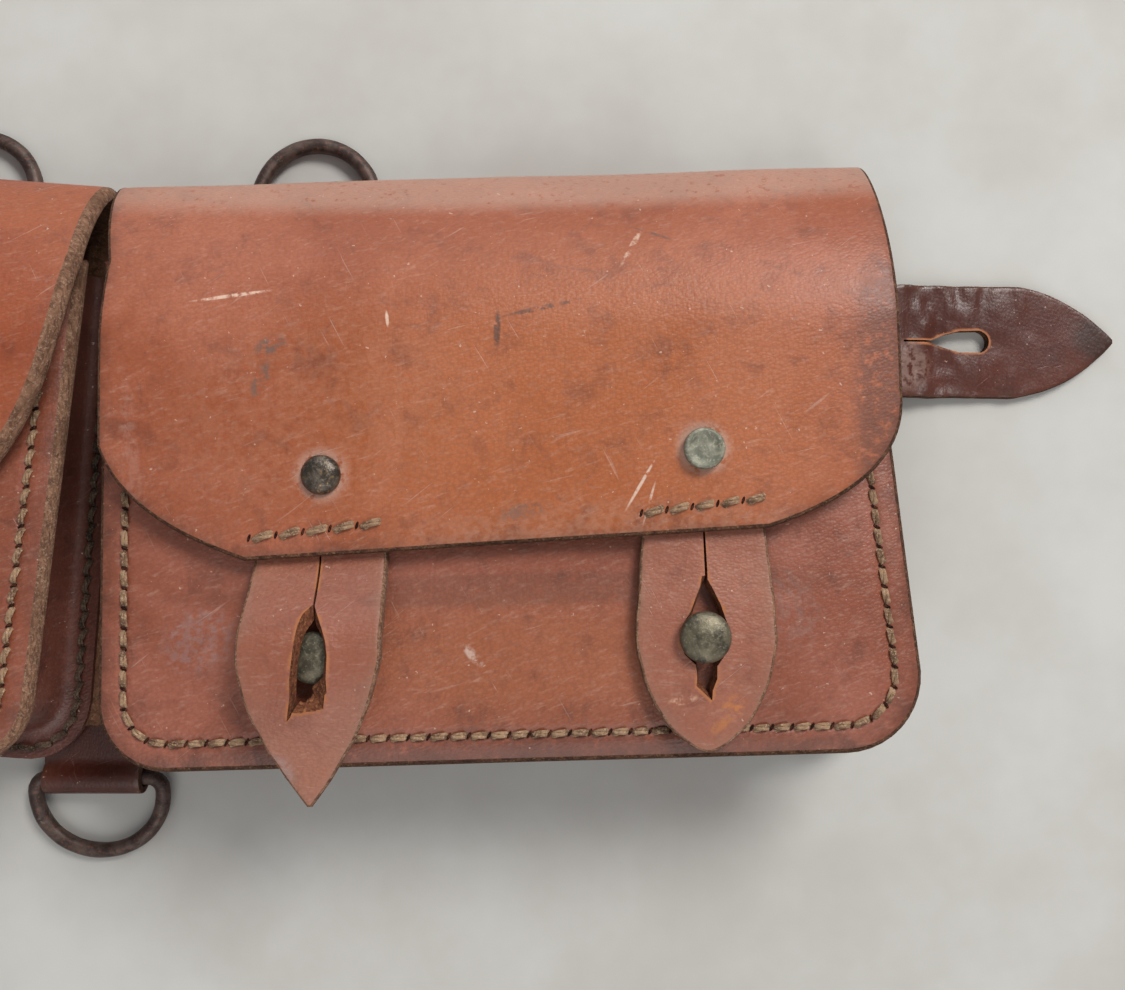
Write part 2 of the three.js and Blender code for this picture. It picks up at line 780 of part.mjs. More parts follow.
const pouches = new THREE.Group();
HALVES.forEach( ( half ) => pouches.add( buildHalf( half ) ) );
pouches.add( buildBottomRing() );

// Bring the middle of the box, at ground level, to the origin
pouches.updateMatrixWorld( true );
const box = new THREE.Box3().setFromObject( pouches, true );
const middle = box.getCenter( new THREE.Vector3() );
pouches.position.set( - middle.x, - middle.y, - box.min.z );

const belt = new THREE.Group();
belt.add( pouches );

export default belt;
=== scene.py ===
"""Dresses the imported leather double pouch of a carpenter's tool belt: hides, saddle stitching and fittings.

All lengths are in metres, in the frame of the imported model. Each pouch is drawn in a half frame of its own: u runs
outwards from the slot between the pouches, v towards the fold that the flap hangs from, and z up.
"""
import json
import logging
import math
from collections.abc import Callable, Sequence
from dataclasses import dataclass, field
from enum import Enum, IntEnum

import bmesh
import bpy
import numpy as np
from mathutils import Matrix, Vector, noise


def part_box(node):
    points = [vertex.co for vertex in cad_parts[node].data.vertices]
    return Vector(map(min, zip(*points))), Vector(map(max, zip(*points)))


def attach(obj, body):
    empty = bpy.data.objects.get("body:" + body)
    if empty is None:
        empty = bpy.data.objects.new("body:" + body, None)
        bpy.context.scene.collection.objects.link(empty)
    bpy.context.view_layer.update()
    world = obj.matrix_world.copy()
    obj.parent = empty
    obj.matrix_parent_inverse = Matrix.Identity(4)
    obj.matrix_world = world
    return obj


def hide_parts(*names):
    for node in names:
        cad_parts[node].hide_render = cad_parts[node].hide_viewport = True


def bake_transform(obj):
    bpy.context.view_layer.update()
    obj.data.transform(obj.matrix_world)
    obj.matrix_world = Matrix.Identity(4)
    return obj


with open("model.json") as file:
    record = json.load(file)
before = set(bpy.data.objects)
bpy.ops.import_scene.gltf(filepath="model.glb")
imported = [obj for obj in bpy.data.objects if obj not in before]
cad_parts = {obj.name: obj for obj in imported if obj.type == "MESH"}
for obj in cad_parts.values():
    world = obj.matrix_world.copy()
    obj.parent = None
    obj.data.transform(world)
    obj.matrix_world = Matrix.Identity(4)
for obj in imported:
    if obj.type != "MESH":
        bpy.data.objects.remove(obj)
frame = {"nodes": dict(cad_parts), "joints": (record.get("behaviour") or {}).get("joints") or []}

log = logging.getLogger("tool_belt")

MM = 0.001

Point = tuple[float, float]
Colour = tuple[float, float, float]
Lie = Callable[[float, float, float], Vector]


class Side(Enum):
    """The two pouches."""

    LEFT = "left"
    RIGHT = "right"


class Skin(IntEnum):
    """The order of the materials on a cut of leather."""

    GRAIN = 0
    FLESH = 1
    EDGE = 2
    TORN = 3


class Wear(Enum):
    """How the slot of a closing strap has torn."""

    PULLED_OPEN = "pulled_open"
    SPLIT_BELOW = "split_below"


# ---- Plane curves ---------------------------------------------------------------------------------


def bezier(*handles: Point, steps: int = 12) -> list[Point]:
    """Draws a Bezier curve of any order.

    Args:
        handles: its control points, ends included.
        steps: how many pieces it is drawn in.

    Returns:
        The points of the curve, both ends included.
    """
    points = []
    for i in range(steps + 1):
        row = [Vector(h) for h in handles]
        while len(row) > 1:
            row = [a.lerp(b, i / steps) for a, b in zip(row, row[1:])]
        points.append(tuple(row[0]))
    return points


def arc(centre: Point, radius: float, start: float, stop: float, steps: int = 10) -> list[Point]:
    """Draws an arc between two angles, in degrees.

    Returns:
        The points of the arc, both ends included.
    """
    angles = [math.radians(start + (stop - start) * i / steps) for i in range(steps + 1)]
    return [(centre[0] + radius * math.cos(a), centre[1] + radius * math.sin(a)) for a in angles]


def rounded(points: Sequence[Point], passes: int = 3) -> list[Point]:
    """Softens an open line by cutting its corners, keeping its ends.

    Returns:
        The softened line.
    """
    line = [Vector(p) for p in points]
    for _ in range(passes):
        soft = [line[0]]
        for a, b in zip(line, line[1:]):
            soft += [a.lerp(b, 0.25), a.lerp(b, 0.75)]
        line = soft + [line[-1]]
    return [tuple(p) for p in line]


def divide(points: Sequence[Point], counts: Sequence[int]) -> list[Point]:
    """Divides each side of a closed outline into its own count of pieces.

    Returns:
        The divided outline, with every given point kept.
    """
    result: list[Point] = []
    for a, b, count in zip(points, [*points[1:], points[0]], counts):
        result += [(a[0] + (b[0] - a[0]) * i / count, a[1] + (b[1] - a[1]) * i / count) for i in range(count)]
    return result


def refine(points: Sequence[Point], spacing: float, closed: bool = True) -> list[Point]:
    """Divides the sides of an outline, so that none is longer than the spacing.

    Returns:
        The divided outline, with every given point kept.
    """
    ends = [*points[1:], points[0]]
    counts = [max(1, math.ceil(math.dist(a, b) / spacing)) for a, b in zip(points, ends)]
    if not closed:
        counts[-1] = 1
    result = divide(points, counts)
    return [p for i, p in enumerate(result) if i == 0 or math.dist(p, result[i - 1]) > 1e-7]


def inward(outline: Sequence[Point], reach: float) -> list[Point]:
    """Moves an anticlockwise outline inwards, without long spikes at its sharp corners.

    Returns:
        As many points, in the same order.
    """
    result = []
    for before, here, after in zip([outline[-1], *outline], outline, [*outline[1:], outline[0]]):
        arrive = (Vector(here) - Vector(before)).normalized()
        leave = (Vector(after) - Vector(here)).normalized()
        run = (arrive + leave).normalized()
        stretch = min(1 / max(run.dot(arrive), 0.01), 1.6)
        result.append((here[0] - run.y * reach * stretch, here[1] + run.x * reach * stretch))
    return result


def distances(places: np.ndarray, line: Sequence[tuple[Point, Point]]) -> np.ndarray:
    """Measures how far each place is from the nearest of some straight pieces.

    Args:
        places: one row of x and y for each place.
        line: the straight pieces, as pairs of points.

    Returns:
        One distance for each place.
    """
    nearest = np.full(len(places), 1e9)
    for a, b in line:
        start, run = np.array(a), np.subtract(b, a)
        share = np.clip((places - start) @ run / max(run @ run, 1e-18), 0, 1)
        nearest = np.minimum(nearest, np.linalg.norm(places - start - share[:, None] * run, axis=1))
    return nearest


@dataclass
class Bend:
    """The line that a cut of leather follows, drawn along its grain face."""

    line: Sequence[Point]
    spacing: float = 1 * MM
    over: float = 1.0
    points: np.ndarray = field(init=False)
    lengths: np.ndarray = field(init=False)
    normals: np.ndarray = field(init=False)

    def __post_init__(self) -> None:
        """Measures the line."""
        self.points = np.array(refine(self.line, self.spacing, closed=False))
        steps = np.diff(self.points, axis=0)
        self.lengths = np.concatenate([[0], np.cumsum(np.linalg.norm(steps, axis=1))])
        runs = np.gradient(self.points, axis=0)
        runs /= np.linalg.norm(runs, axis=1)[:, None]
        self.normals = np.stack([runs[:, 1], -runs[:, 0]], axis=1) * self.over

    def reach(self, along: float) -> float:
        """Returns how far along the leather its line comes to a place."""
        order = np.argsort(self.points[:, 0], kind="stable")
        return float(np.interp(along, self.points[order, 0], self.lengths[order]))

    def at(self, distance: float, height: float) -> Point:
        """Returns the place at a distance along the leather and a height over its grain face."""
        values = [np.interp(distance, self.lengths, column) for column in (*self.points.T, *self.normals.T)]
        return values[0] + values[2] * height, values[1] + values[3] * height


# ---- The frames that the pieces are drawn in ------------------------------------------------------


def joint(name: str) -> dict:
    """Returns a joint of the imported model."""
    return next(j for j in frame["joints"] if j["name"] == name)


def corners(node: str, place: Matrix) -> tuple[Vector, Vector]:
    """Measures a CAD node in a frame of its own.

    Args:
        node: the node's name.
        place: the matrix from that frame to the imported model's.

    Returns:
        The node's lowest and highest corners in that frame.
    """
    back = place.inverted()
    places = np.array([back @ v.co for v in frame["nodes"][node].data.vertices])
    return Vector(places.min(0)), Vector(places.max(0))


@dataclass
class HalfFrame:
    """The turned frame of one pouch."""

    side: Side
    hinge_u: float = 90 * MM
    hinge_v: float = 77.15 * MM
    place: Matrix = field(init=False)

    def __post_init__(self) -> None:
        """Works the frame out from the flap's hinge."""
        hinge = joint(f"{self.side.value}_flap_hinge")
        along = Vector(hinge["axis"]).normalized()
        if self.side is Side.RIGHT:
            along.negate()
        across = Vector((-along.y, along.x, 0)) * (1 if self.side is Side.RIGHT else -1)
        origin = Vector(hinge["pos_m"]) - along * self.hinge_u - across * self.hinge_v
        origin.z = 0
        axes = Matrix((along, across, Vector((0, 0, 1)))).transposed()
        self.place = Matrix.Translation(origin) @ axes.to_4x4()

    def name(self, piece: str) -> str:
        """Returns a piece's name on this side."""
        return f"{self.side.value}_{piece}"

    def box(self, piece: str) -> tuple[Vector, Vector]:
        """Returns a CAD node's corners in this frame."""
        return corners(self.name(piece), self.place)

    def middle(self, piece: str) -> Vector:
        """Returns the middle of a CAD node in this frame."""
        low, high = self.box(piece)
        return (low + high) / 2

    def point(self, u: float, v: float, z: float) -> Vector:
        """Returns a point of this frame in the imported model's."""
        return self.place @ Vector((u, v, z))


# ---- Mesh work ------------------------------------------------------------------------------------


def everything(bm: bmesh.types.BMesh) -> list:
    """Returns all of a mesh's vertices, edges and faces."""
    return bm.verts[:] + bm.edges[:] + bm.faces[:]


def finish_mesh(bm: bmesh.types.BMesh, name: str, finishes: Sequence[bpy.types.Material],
                sharp: float = 40) -> bpy.types.Object:
    """Turns a worked mesh into a piece.

    Args:
        bm: the mesh, which is freed.
        name: the piece's name.
        finishes: its materials, in the order of its faces' numbers.
        sharp: the angle in degrees past which an edge stays sharp.

    Returns:
        The piece, at the origin.
    """
    for face in bm.faces:
        face.smooth = True
    mesh = bpy.data.meshes.new(name)
    bm.to_mesh(mesh)
    bm.free()
    mesh.set_sharp_from_angle(angle=math.radians(sharp))
    for material in finishes:
        mesh.materials.append(material)
    piece = bpy.data.objects.new(name, mesh)
    bpy.context.scene.collection.objects.link(piece)
    log.info("made %s with %d faces", name, len(mesh.polygons))
    return piece


def flat_sheet(outline: Sequence[Point], insets: Sequence[float], spacing: float,
               cell: float) -> bmesh.types.BMesh:
    """Cuts a flat sheet, with lines that follow its outline and a grid of cells inside.

    Args:
        outline: its corners, anticlockwise.
        insets: the widths of the strips that follow the outline.
        spacing: the longest that an edge along the outline may be.
        cell: the size of the grid's cells.

    Returns:
        The sheet as a mesh on the plane z = 0.
    """
    counts = [math.ceil(math.dist(a, b) / spacing) for a, b in zip(outline, [*outline[1:], outline[0]])]
    bm = bmesh.new()
    face = bm.faces.new([bm.verts.new((x, y, 0)) for x, y in divide(outline, counts)])
    reach = 0.0
    for width in insets:
        reach += width
        bmesh.ops.inset_individual(bm, faces=[face], thickness=width)
        for vert, (x, y) in zip(face.verts, divide(inward(outline, reach), counts)):
            vert.co = (x, y, 0)
    places = np.array(outline)
    for axis in (0, 1):
        low, high = places[:, axis].min(), places[:, axis].max()
        count = math.ceil((high - low) / cell)
        normal = Vector((1 - axis, axis, 0))
        for i in range(1, count):
            on = normal * (low + (high - low) * i / count)
            bmesh.ops.bisect_plane(bm, geom=everything(bm), dist=1e-7, plane_co=on, plane_no=normal)
    return bm


def thicken(bm: bmesh.types.BMesh, thickness: float) -> None:
    """Gives a flat sheet its thickness, downwards."""
    made = bmesh.ops.extrude_face_region(bm, geom=bm.faces[:], use_keep_orig=True)["geom"]
    under = [part for part in made if isinstance(part, bmesh.types.BMVert)]
    bmesh.ops.translate(bm, verts=under, vec=(0, 0, -thickness))
    bmesh.ops.recalc_face_normals(bm, faces=bm.faces[:])


def cut_away(bm: bmesh.types.BMesh, top: Sequence[Point], foot: Sequence[Point], thickness: float) -> None:
    """Cuts a hole with sloping walls through a thick flat sheet.

    Args:
        bm: the sheet, which is changed.
        top: the hole's outline on the grain face.
        foot: as many points, for its outline on the flesh face.
        thickness: the sheet's thickness.
    """
    beyond = thickness / 4
    tool = bmesh.new()
    lid = tool.faces.new([tool.verts.new((x, y, 0)) for x, y in top])
    made = bmesh.ops.extrude_face_region(tool, geom=[lid], use_keep_orig=True)["geom"]
    lower = [part for part in made if isinstance(part, bmesh.types.BMVert)]
    for vert, above, below in zip(lower, top, foot):
        run = Vector(below) - Vector(above)
        vert.co = (*(Vector(above) + run * (1 + beyond / thickness)), -thickness - beyond)
    for vert, above, below in zip(tool.verts[: len(top)], top, foot):
        run = Vector(below) - Vector(above)
        vert.co = (*(Vector(above) - run * beyond / thickness), beyond)
    bmesh.ops.recalc_face_normals(tool, faces=tool.faces[:])
    for face in tool.faces:
        face.material_index = Skin.TORN
    meshes = []
    for source in (bm, tool):
        mesh = bpy.data.meshes.new("cutting")
        source.to_mesh(mesh)
        meshes.append(bpy.data.objects.new("cutting", mesh))
        for _ in Skin:
            mesh.materials.append(None)
        bpy.context.scene.collection.objects.link(meshes[-1])
    tool.free()
    cutting = meshes[0].modifiers.new("cut", "BOOLEAN")
    cutting.operation = "DIFFERENCE"
    cutting.solver = "EXACT"
    cutting.object = meshes[1]
    bpy.context.view_layer.update()
    result = bpy.data.meshes.new_from_object(meshes[0].evaluated_get(bpy.context.evaluated_depsgraph_get()))
    bm.clear()
    bm.from_mesh(result)
    for part in meshes:
        mesh = part.data
        bpy.data.objects.remove(part)
        bpy.data.meshes.remove(mesh)
    bpy.data.meshes.remove(result)


def lathe(profile: Sequence[Point], steps: int = 40) -> bmesh.types.BMesh:
    """Turns a round piece about the z axis.

    Args:
        profile: its outline as (radius, height), from axis to axis or closed on itself.
        steps: how many pieces the turn has.

    Returns:
        The closed mesh.
    """
    bm = bmesh.new()
    verts = [bm.verts.new((r, 0, z)) for r, z in profile]
    edges = [bm.edges.new(pair) for pair in zip(verts, verts[1:])]
    bmesh.ops.spin(bm, geom=verts + edges, cent=(0, 0, 0), axis=(0, 0, 1), dvec=(0, 0, 0),
                   angle=math.tau, steps=steps, use_merge=True)
    bmesh.ops.remove_doubles(bm, verts=bm.verts[:], dist=1e-6)
    bmesh.ops.recalc_face_normals(bm, faces=bm.faces[:])
    return bm


def waver(place: Vector, size: float) -> float:
    """Returns smooth unevenness between about -1 and 1, with humps of about the given size."""
    return noise.noise(place / size)


# ---- Cuts of leather ------------------------------------------------------------------------------


@dataclass
class Hole:
    """A hole through a cut of leather, wider on the grain face than on the flesh face."""

    top: Sequence[Point]
    foot: Sequence[Point]


@dataclass
class Cut:
    """A flat cut of leather with eased edges, which is then bent into place.

    The relief is a function of a place on the flat cut and of its distance from the cut edge, and gives how far
    the leather stands up there.
    """

    outline: Sequence[Point]
    thickness: float
    lie: Lie
    cell: float = 4 * MM
    spacing: float = 1.6 * MM
    easing: float = 1.1 * MM
    strips: Sequence[float] = ()
    holes: Sequence[Hole] = ()
    joined: Callable[[Point], bool] = lambda middle: False
    relief: Callable[[float, float, float], float] = lambda x, y, edge: 0.0
    wear_reach: float = 4 * MM
    torn_reach: float = 0.5 * MM
    raw_share: float = 0.3

    def build(self) -> bmesh.types.BMesh:
        """Cuts, eases and bends the leather.

        Returns:
            A closed mesh with the layers edge and torn, which fade from 1 at a cut edge or a hole.
        """
        outline = anticlockwise(self.outline)
        insets = (self.easing * 0.35, self.easing * 0.65, *self.strips)
        bm = flat_sheet(outline, insets, self.spacing, self.cell)
        thicken(bm, self.thickness)
        for hole in self.holes:
            cut_away(bm, hole.top, hole.foot, self.thickness)
        sides = [side for side in zip(outline, outline[1:] + outline[:1]) if not self.joined(midway(*side))]
        rims = [side for hole in self.holes for side in zip(hole.top, [*hole.top[1:], hole.top[0]])]
        self._number_faces(bm, sides)
        self._bend(bm, sides, rims)
        bmesh.ops.recalc_face_normals(bm, faces=bm.faces[:])
        return bm

    def _number_faces(self, bm: bmesh.types.BMesh, sides: list) -> None:
        """Gives each face of the flat cut its material number."""
        places = np.array([face.calc_center_median() for face in bm.faces])
        edges = distances(places[:, :2], sides)
        for face, place, edge in zip(bm.faces, places, edges):
            if face.material_index == Skin.TORN:
                continue
            inside = -self.thickness * 0.98 < place[2] < -self.thickness * 0.02
            if inside or edge < self.easing * self.raw_share:
                face.material_index = Skin.EDGE
            else:
                face.material_index = Skin.GRAIN if place[2] > -self.thickness / 2 else Skin.FLESH

    def _bend(self, bm: bmesh.types.BMesh, sides: list, rims: list) -> None:
        """Eases the edges, raises the relief and lays the cut where it goes."""
        edge_layer = bm.verts.layers.float.new("edge")
        torn_layer = bm.verts.layers.float.new("torn")
        places = np.array([vert.co for vert in bm.verts])
        edges = distances(places[:, :2], sides)
        tears = distances(places[:, :2], rims)
        deepest = 0.6 * self.thickness
        for vert, (x, y, z), edge, tear in zip(bm.verts, places, edges, tears):
            height = z + self.relief(x, y, edge)
            short = max(1 - edge / self.easing, 0)
            drop = min(self.easing, deepest) * (1 - math.sqrt(1 - short**2))
            height += -drop if z > -self.thickness / 2 else drop / 3
            vert[edge_layer] = math.exp(-edge / self.wear_reach)
            vert[torn_layer] = math.exp(-tear / self.torn_reach)
            vert.co = self.lie(x, y, height)


def anticlockwise(outline: Sequence[Point]) -> list[Point]:
    """Returns an outline without doubled points, turned so that it runs anticlockwise."""
    points = [p for i, p in enumerate(outline) if math.dist(p, outline[i - 1]) > 0.02 * MM]
    area = sum(a[0] * b[1] - a[1] * b[0] for a, b in zip(points, [*points[1:], points[0]]))
    return points if area > 0 else points[::-1]


def midway(a: Point, b: Point) -> Point:
    """Returns the point midway between two."""
    return (a[0] + b[0]) / 2, (a[1] + b[1]) / 2


def place_cut(bm: bmesh.types.BMesh, place: Matrix) -> None:
    """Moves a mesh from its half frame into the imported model's, with its faces still outwards."""
    bmesh.ops.transform(bm, matrix=place, verts=bm.verts[:])
    if place.to_3x3().determinant() < 0:
        bmesh.ops.reverse_faces(bm, faces=bm.faces[:])


# ---- Materials ------------------------------------------------------------------------------------


def shade(code: str) -> tuple[float, float, float, float]:
    """Turns a colour written as six hexadecimal digits into linear red, green, blue and alpha."""
    values = [int(code[i : i + 2], 16) / 255 for i in (0, 2, 4)]
    return (*[v / 12.92 if v <= 0.04045 else ((v + 0.055) / 1.055) ** 2.4 for v in values], 1.0)


class Workbench:
    """A material's node tree, with short words for the nodes that the finishes need."""

    def __init__(self, name: str) -> None:
        """Starts a material that holds only its shader."""
        self.material = bpy.data.materials.new(name)
        self.material.use_nodes = True
        self.tree = self.material.node_tree
        self.shader = self.tree.nodes["Principled BSDF"]
        self.object = self.tree.nodes.new("ShaderNodeTexCoord").outputs["Object"]

    def node(self, kind: str, inputs: dict, **settings: object) -> bpy.types.Node:
        """Adds a node.

        Args:
            kind: the node's type.
            inputs: a value or a socket for each input, by name or number.
            settings: the node's own settings.

        Returns:
            The node.
        """
        node = self.tree.nodes.new(kind)
        for name, value in settings.items():
            setattr(node, name, value)
        for name, value in inputs.items():
            if isinstance(value, bpy.types.NodeSocket):
                self.tree.links.new(value, node.inputs[name])
            else:
                node.inputs[name].default_value = value
        return node

    def mapped(self, centre: Sequence[float] = (0, 0, 0), turn: float = 0, size: Sequence[float] = (1, 1, 1),
               source: bpy.types.NodeSocket | None = None) -> bpy.types.NodeSocket:
        """Returns coordinates that count in units of size from the centre, turned by some degrees."""
        inputs = {"Vector": source or self.object, "Location": centre, "Rotation": (0, 0, math.radians(turn)),
                  "Scale": size}
        return self.node("ShaderNodeMapping", inputs, vector_type="TEXTURE").outputs[0]

    def noise(self, vector: bpy.types.NodeSocket, scale: float, detail: float = 3, rough: float = 0.55,
              distortion: float = 0) -> bpy.types.NodeSocket:
        """Returns a noise pattern's strength."""
        inputs = {"Vector": vector, "Scale": scale, "Detail": detail, "Roughness": rough,
                  "Distortion": distortion}
        return self.node("ShaderNodeTexNoise", inputs).outputs["Fac"]

    def cells(self, vector: bpy.types.NodeSocket, scale: float, smooth: float = 0.4) -> bpy.types.NodeSocket:
        """Returns the distance from the middle of each cell of a pebbled pattern."""
        inputs = {"Vector": vector, "Scale": scale, "Smoothness": smooth}
        return self.node("ShaderNodeTexVoronoi", inputs, feature="SMOOTH_F1").outputs["Distance"]

    def step(self, value: bpy.types.NodeSocket, low: float, high: float) -> bpy.types.NodeSocket:
        """Returns 0 where the value is under low and 1 where it is over high, with a soft change between."""
        inputs = {"Value": value, "From Min": low, "From Max": high}
        return self.node("ShaderNodeMapRange", inputs, interpolation_type="SMOOTHSTEP").outputs[0]

    def sum(self, kind: str, a: object, b: object = 0.0, clamp: bool = False) -> bpy.types.NodeSocket:
        """Returns a sum of two values, as the kind of sum says."""
        return self.node("ShaderNodeMath", {0: a, 1: b}, operation=kind, use_clamp=clamp).outputs[0]

    def mix(self, share: object, a: object, b: object, blend: str = "MIX") -> bpy.types.NodeSocket:
        """Returns two colours mixed."""
        inputs = {0: share, 6: a, 7: b}
        return self.node("ShaderNodeMix", inputs, data_type="RGBA", blend_type=blend).outputs[2]

    def spot(self, centre: Point, size: Point, turn: float = 0) -> bpy.types.NodeSocket:
        """Returns a round or long spot on the xy plane, 1 in its middle and 0 outside."""
        vector = self.mapped((*centre, 0), turn, (*size, 1.0))
        flat = self.node("ShaderNodeVectorMath", {0: vector, 1: (1, 1, 0)}, operation="MULTIPLY").outputs[0]
        return self.node("ShaderNodeTexGradient", {"Vector": flat}, gradient_type="SPHERICAL").outputs["Fac"]

    def layer(self, name: str) -> bpy.types.NodeSocket:
        """Returns a layer of the mesh."""
        return self.node("ShaderNodeAttribute", {}, attribute_name=name).outputs["Fac"]

    def bump(self, height: bpy.types.NodeSocket, depth: float, strength: float = 1.0) -> None:
        """Gives the shader a relief of the given depth."""
        inputs = {"Height": height, "Distance": depth, "Strength": strength}
        self.tree.links.new(self.node("ShaderNodeBump", inputs).outputs[0], self.shader.inputs["Normal"])

    def dress(self, **inputs: object) -> bpy.types.Material:
        """Connects or sets the shader's inputs, whose names have _ for spaces, and returns the material."""
        for name, value in inputs.items():
            target = self.shader.inputs[name.replace("_", " ")]
            if isinstance(value, bpy.types.NodeSocket):
                self.tree.links.new(value, target)
            else:
                target.default_value = value
        return self.material


@dataclass(frozen=True)
class Mark:
    """A scuff, scratch or stain at its own place on the leather; a few marks are painted shade, a painted shadow and
    a painted sheen instead.
    """

    centre: Point
    size: Point
    turn: float
    colour: str
    strength: float = 0.7
    broken: float = 0.5


@dataclass(frozen=True)
class GrainLeather:
    """The polished grain face of old bridle leather."""

    name: str
    body: str
    bright: str
    deep: str
    rim: str
    glow: Point = (0.0, 0.0)
    glow_size: Point = (80 * MM, 50 * MM)
    glow_colour: str = "b8642f"
    scuff: str = "c9a592"
    pebble: float = 0.6 * MM
    lean: float = 18
    gloss: Point = (0.36, 0.6)
    relief: float = 0.085 * MM
    scratches: float = 0.45
    marks: tuple[Mark, ...] = ()

    def build(self) -> bpy.types.Material:
        """Returns the material."""
        bench = Workbench(self.name)
        cloud = bench.noise(bench.object, 22, 4, 0.6, 0.6)
        mottle = bench.noise(bench.object, 130, 4, 0.65, 0.4)
        fibre_place = bench.mapped(turn=self.lean, size=(3.2 * MM, 0.9 * MM, 1.5 * MM))
        fibre = bench.noise(fibre_place, 1.0, 3, 0.6, 0.7)
        pebble_place = bench.mapped(turn=self.lean, size=(self.pebble * 1.5, self.pebble, self.pebble))
        pebble = bench.cells(pebble_place, 1.0)
        wrinkle_place = bench.mapped(turn=self.lean + 74, size=(8 * MM, 1.6 * MM, 3 * MM))
        wrinkle = bench.noise(wrinkle_place, 1.0, 4, 0.6, 1.2)

        colour = bench.mix(bench.step(cloud, 0.38, 0.64), shade(self.body), shade(self.bright))
        glow = bench.step(bench.spot(self.glow, self.glow_size), 0.0, 0.75)
        colour = bench.mix(bench.sum("MULTIPLY", glow, 0.6), colour, shade(self.glow_colour))
        colour = bench.mix(bench.sum("MULTIPLY", bench.step(mottle, 0.5, 0.74), 0.5), colour, shade(self.deep))
        rubbed = bench.sum("MULTIPLY", bench.step(fibre, 0.5, 0.85), 0.3)
        colour = bench.mix(rubbed, colour, shade(self.scuff))
        colour = bench.mix(bench.sum("MULTIPLY", bench.step(pebble, 0.3, 0.75), 0.2), colour, shade(self.deep))
        edge = bench.sum("MULTIPLY", bench.layer("edge"), bench.step(mottle, 0.25, 0.6), clamp=True)
        colour = bench.mix(bench.sum("MULTIPLY", edge, 0.75), colour, shade(self.rim))
        lines, line_mask = self._scratches(bench)
        colour = bench.mix(lines, colour, shade(self.scuff))
        # Pale specks on the grain tops are painted glints: small highlights painted into the colour.
        glint_specks = bench.step(bench.noise(bench.object, 800, 2, 0.5), 0.72, 0.77)
        colour = bench.mix(bench.sum("MULTIPLY", glint_specks, 0.5), colour, shade("d8bfae"))
        grime = bench.step(bench.noise(bench.object, 48, 5, 0.7, 1.0), 0.6, 0.78)
        colour = bench.mix(bench.sum("MULTIPLY", grime, 0.35), colour, shade("5a4038"))
        for mark in self.marks:
            spot = bench.step(bench.spot(mark.centre, mark.size, mark.turn), 0.0, 0.5)
            gaps = bench.step(bench.noise(bench.object, 520, 3, 0.6), mark.broken - 0.1, mark.broken + 0.1)
            share = bench.sum("MULTIPLY", bench.sum("MULTIPLY", spot, gaps), mark.strength)
            colour = bench.mix(share, colour, shade(mark.colour))
        torn = bench.sum("MULTIPLY", bench.step(bench.layer("torn"), 0.3, 0.8), bench.step(mottle, 0.42, 0.56))
        colour = bench.mix(torn, colour, shade("a8673e"))

        pores = bench.sum("SUBTRACT", 1.0, pebble)
        height = bench.sum("ADD", pores, bench.sum("MULTIPLY", wrinkle, 1.2))
        height = bench.sum("ADD", height, bench.sum("MULTIPLY", fibre, 0.7))
        height = bench.sum("SUBTRACT", height, bench.sum("MULTIPLY", line_mask, 0.8))
        bench.bump(height, self.relief, 0.8)
        shine = bench.sum("ADD", bench.sum("MULTIPLY", cloud, 0.5), bench.sum("MULTIPLY", fibre, 0.5))
        rough = bench.node("ShaderNodeMapRange", {"Value": shine, "From Min": 0.3, "From Max": 0.7,
                                                  "To Min": self.gloss[0], "To Max": self.gloss[1]}).outputs[0]
        rough = bench.sum("ADD", rough, bench.sum("MULTIPLY", torn, 0.3))
        return bench.dress(Base_Color=colour, Roughness=rough, Specular_IOR_Level=0.5)

    def _scratches(self, bench: Workbench) -> tuple[bpy.types.NodeSocket, bpy.types.NodeSocket]:
        """Returns how pale the fine scratches are, and where they lie."""
        whole = None
        for turn, shift in ((14, 0.0), (-61, 0.37), (38, 0.81)):
            place = bench.mapped((shift, shift, 0), turn, (17 * MM, 0.8 * MM, 1.0))
            line = bench.step(bench.noise(place, 1.0, 1, 0.4, 0.5), 0.7, 0.78)
            there = bench.step(bench.noise(bench.mapped((shift, 0, 0)), 60, 1), 0.52, 0.62)
            line = bench.sum("MULTIPLY", line, there)
            whole = line if whole is None else bench.sum("MAXIMUM", whole, line)
        return bench.sum("MULTIPLY", whole, 0.6 * self.scratches), whole


@dataclass(frozen=True)
class RawLeather:
    """The fibrous flesh face or a cut edge."""

    name: str
    body: str
    dark: str
    pale: str
    fibre: float = 0.5 * MM

    def build(self) -> bpy.types.Material:
        """Returns the material."""
        bench = Workbench(self.name)
        layers = bench.noise(bench.mapped(size=(2.2 * MM, 2.2 * MM, self.fibre)), 1.0, 4, 0.65, 0.6)
        fuzz = bench.noise(bench.object, 1600, 3, 0.7)
        patch = bench.noise(bench.object, 90, 3, 0.6)
        colour = bench.mix(bench.step(layers, 0.35, 0.65), shade(self.body), shade(self.dark))
        colour = bench.mix(bench.sum("MULTIPLY", bench.step(fuzz, 0.5, 0.7), 0.55), colour, shade(self.pale))
        colour = bench.mix(bench.sum("MULTIPLY", bench.step(patch, 0.5, 0.7), 0.5), colour, shade(self.dark))
        bench.bump(bench.sum("ADD", layers, fuzz), 0.25 * MM, 0.9)
        return bench.dress(Base_Color=colour, Roughness=bench.step(fuzz, -1.5, 0.9), Specular_IOR_Level=0.25)


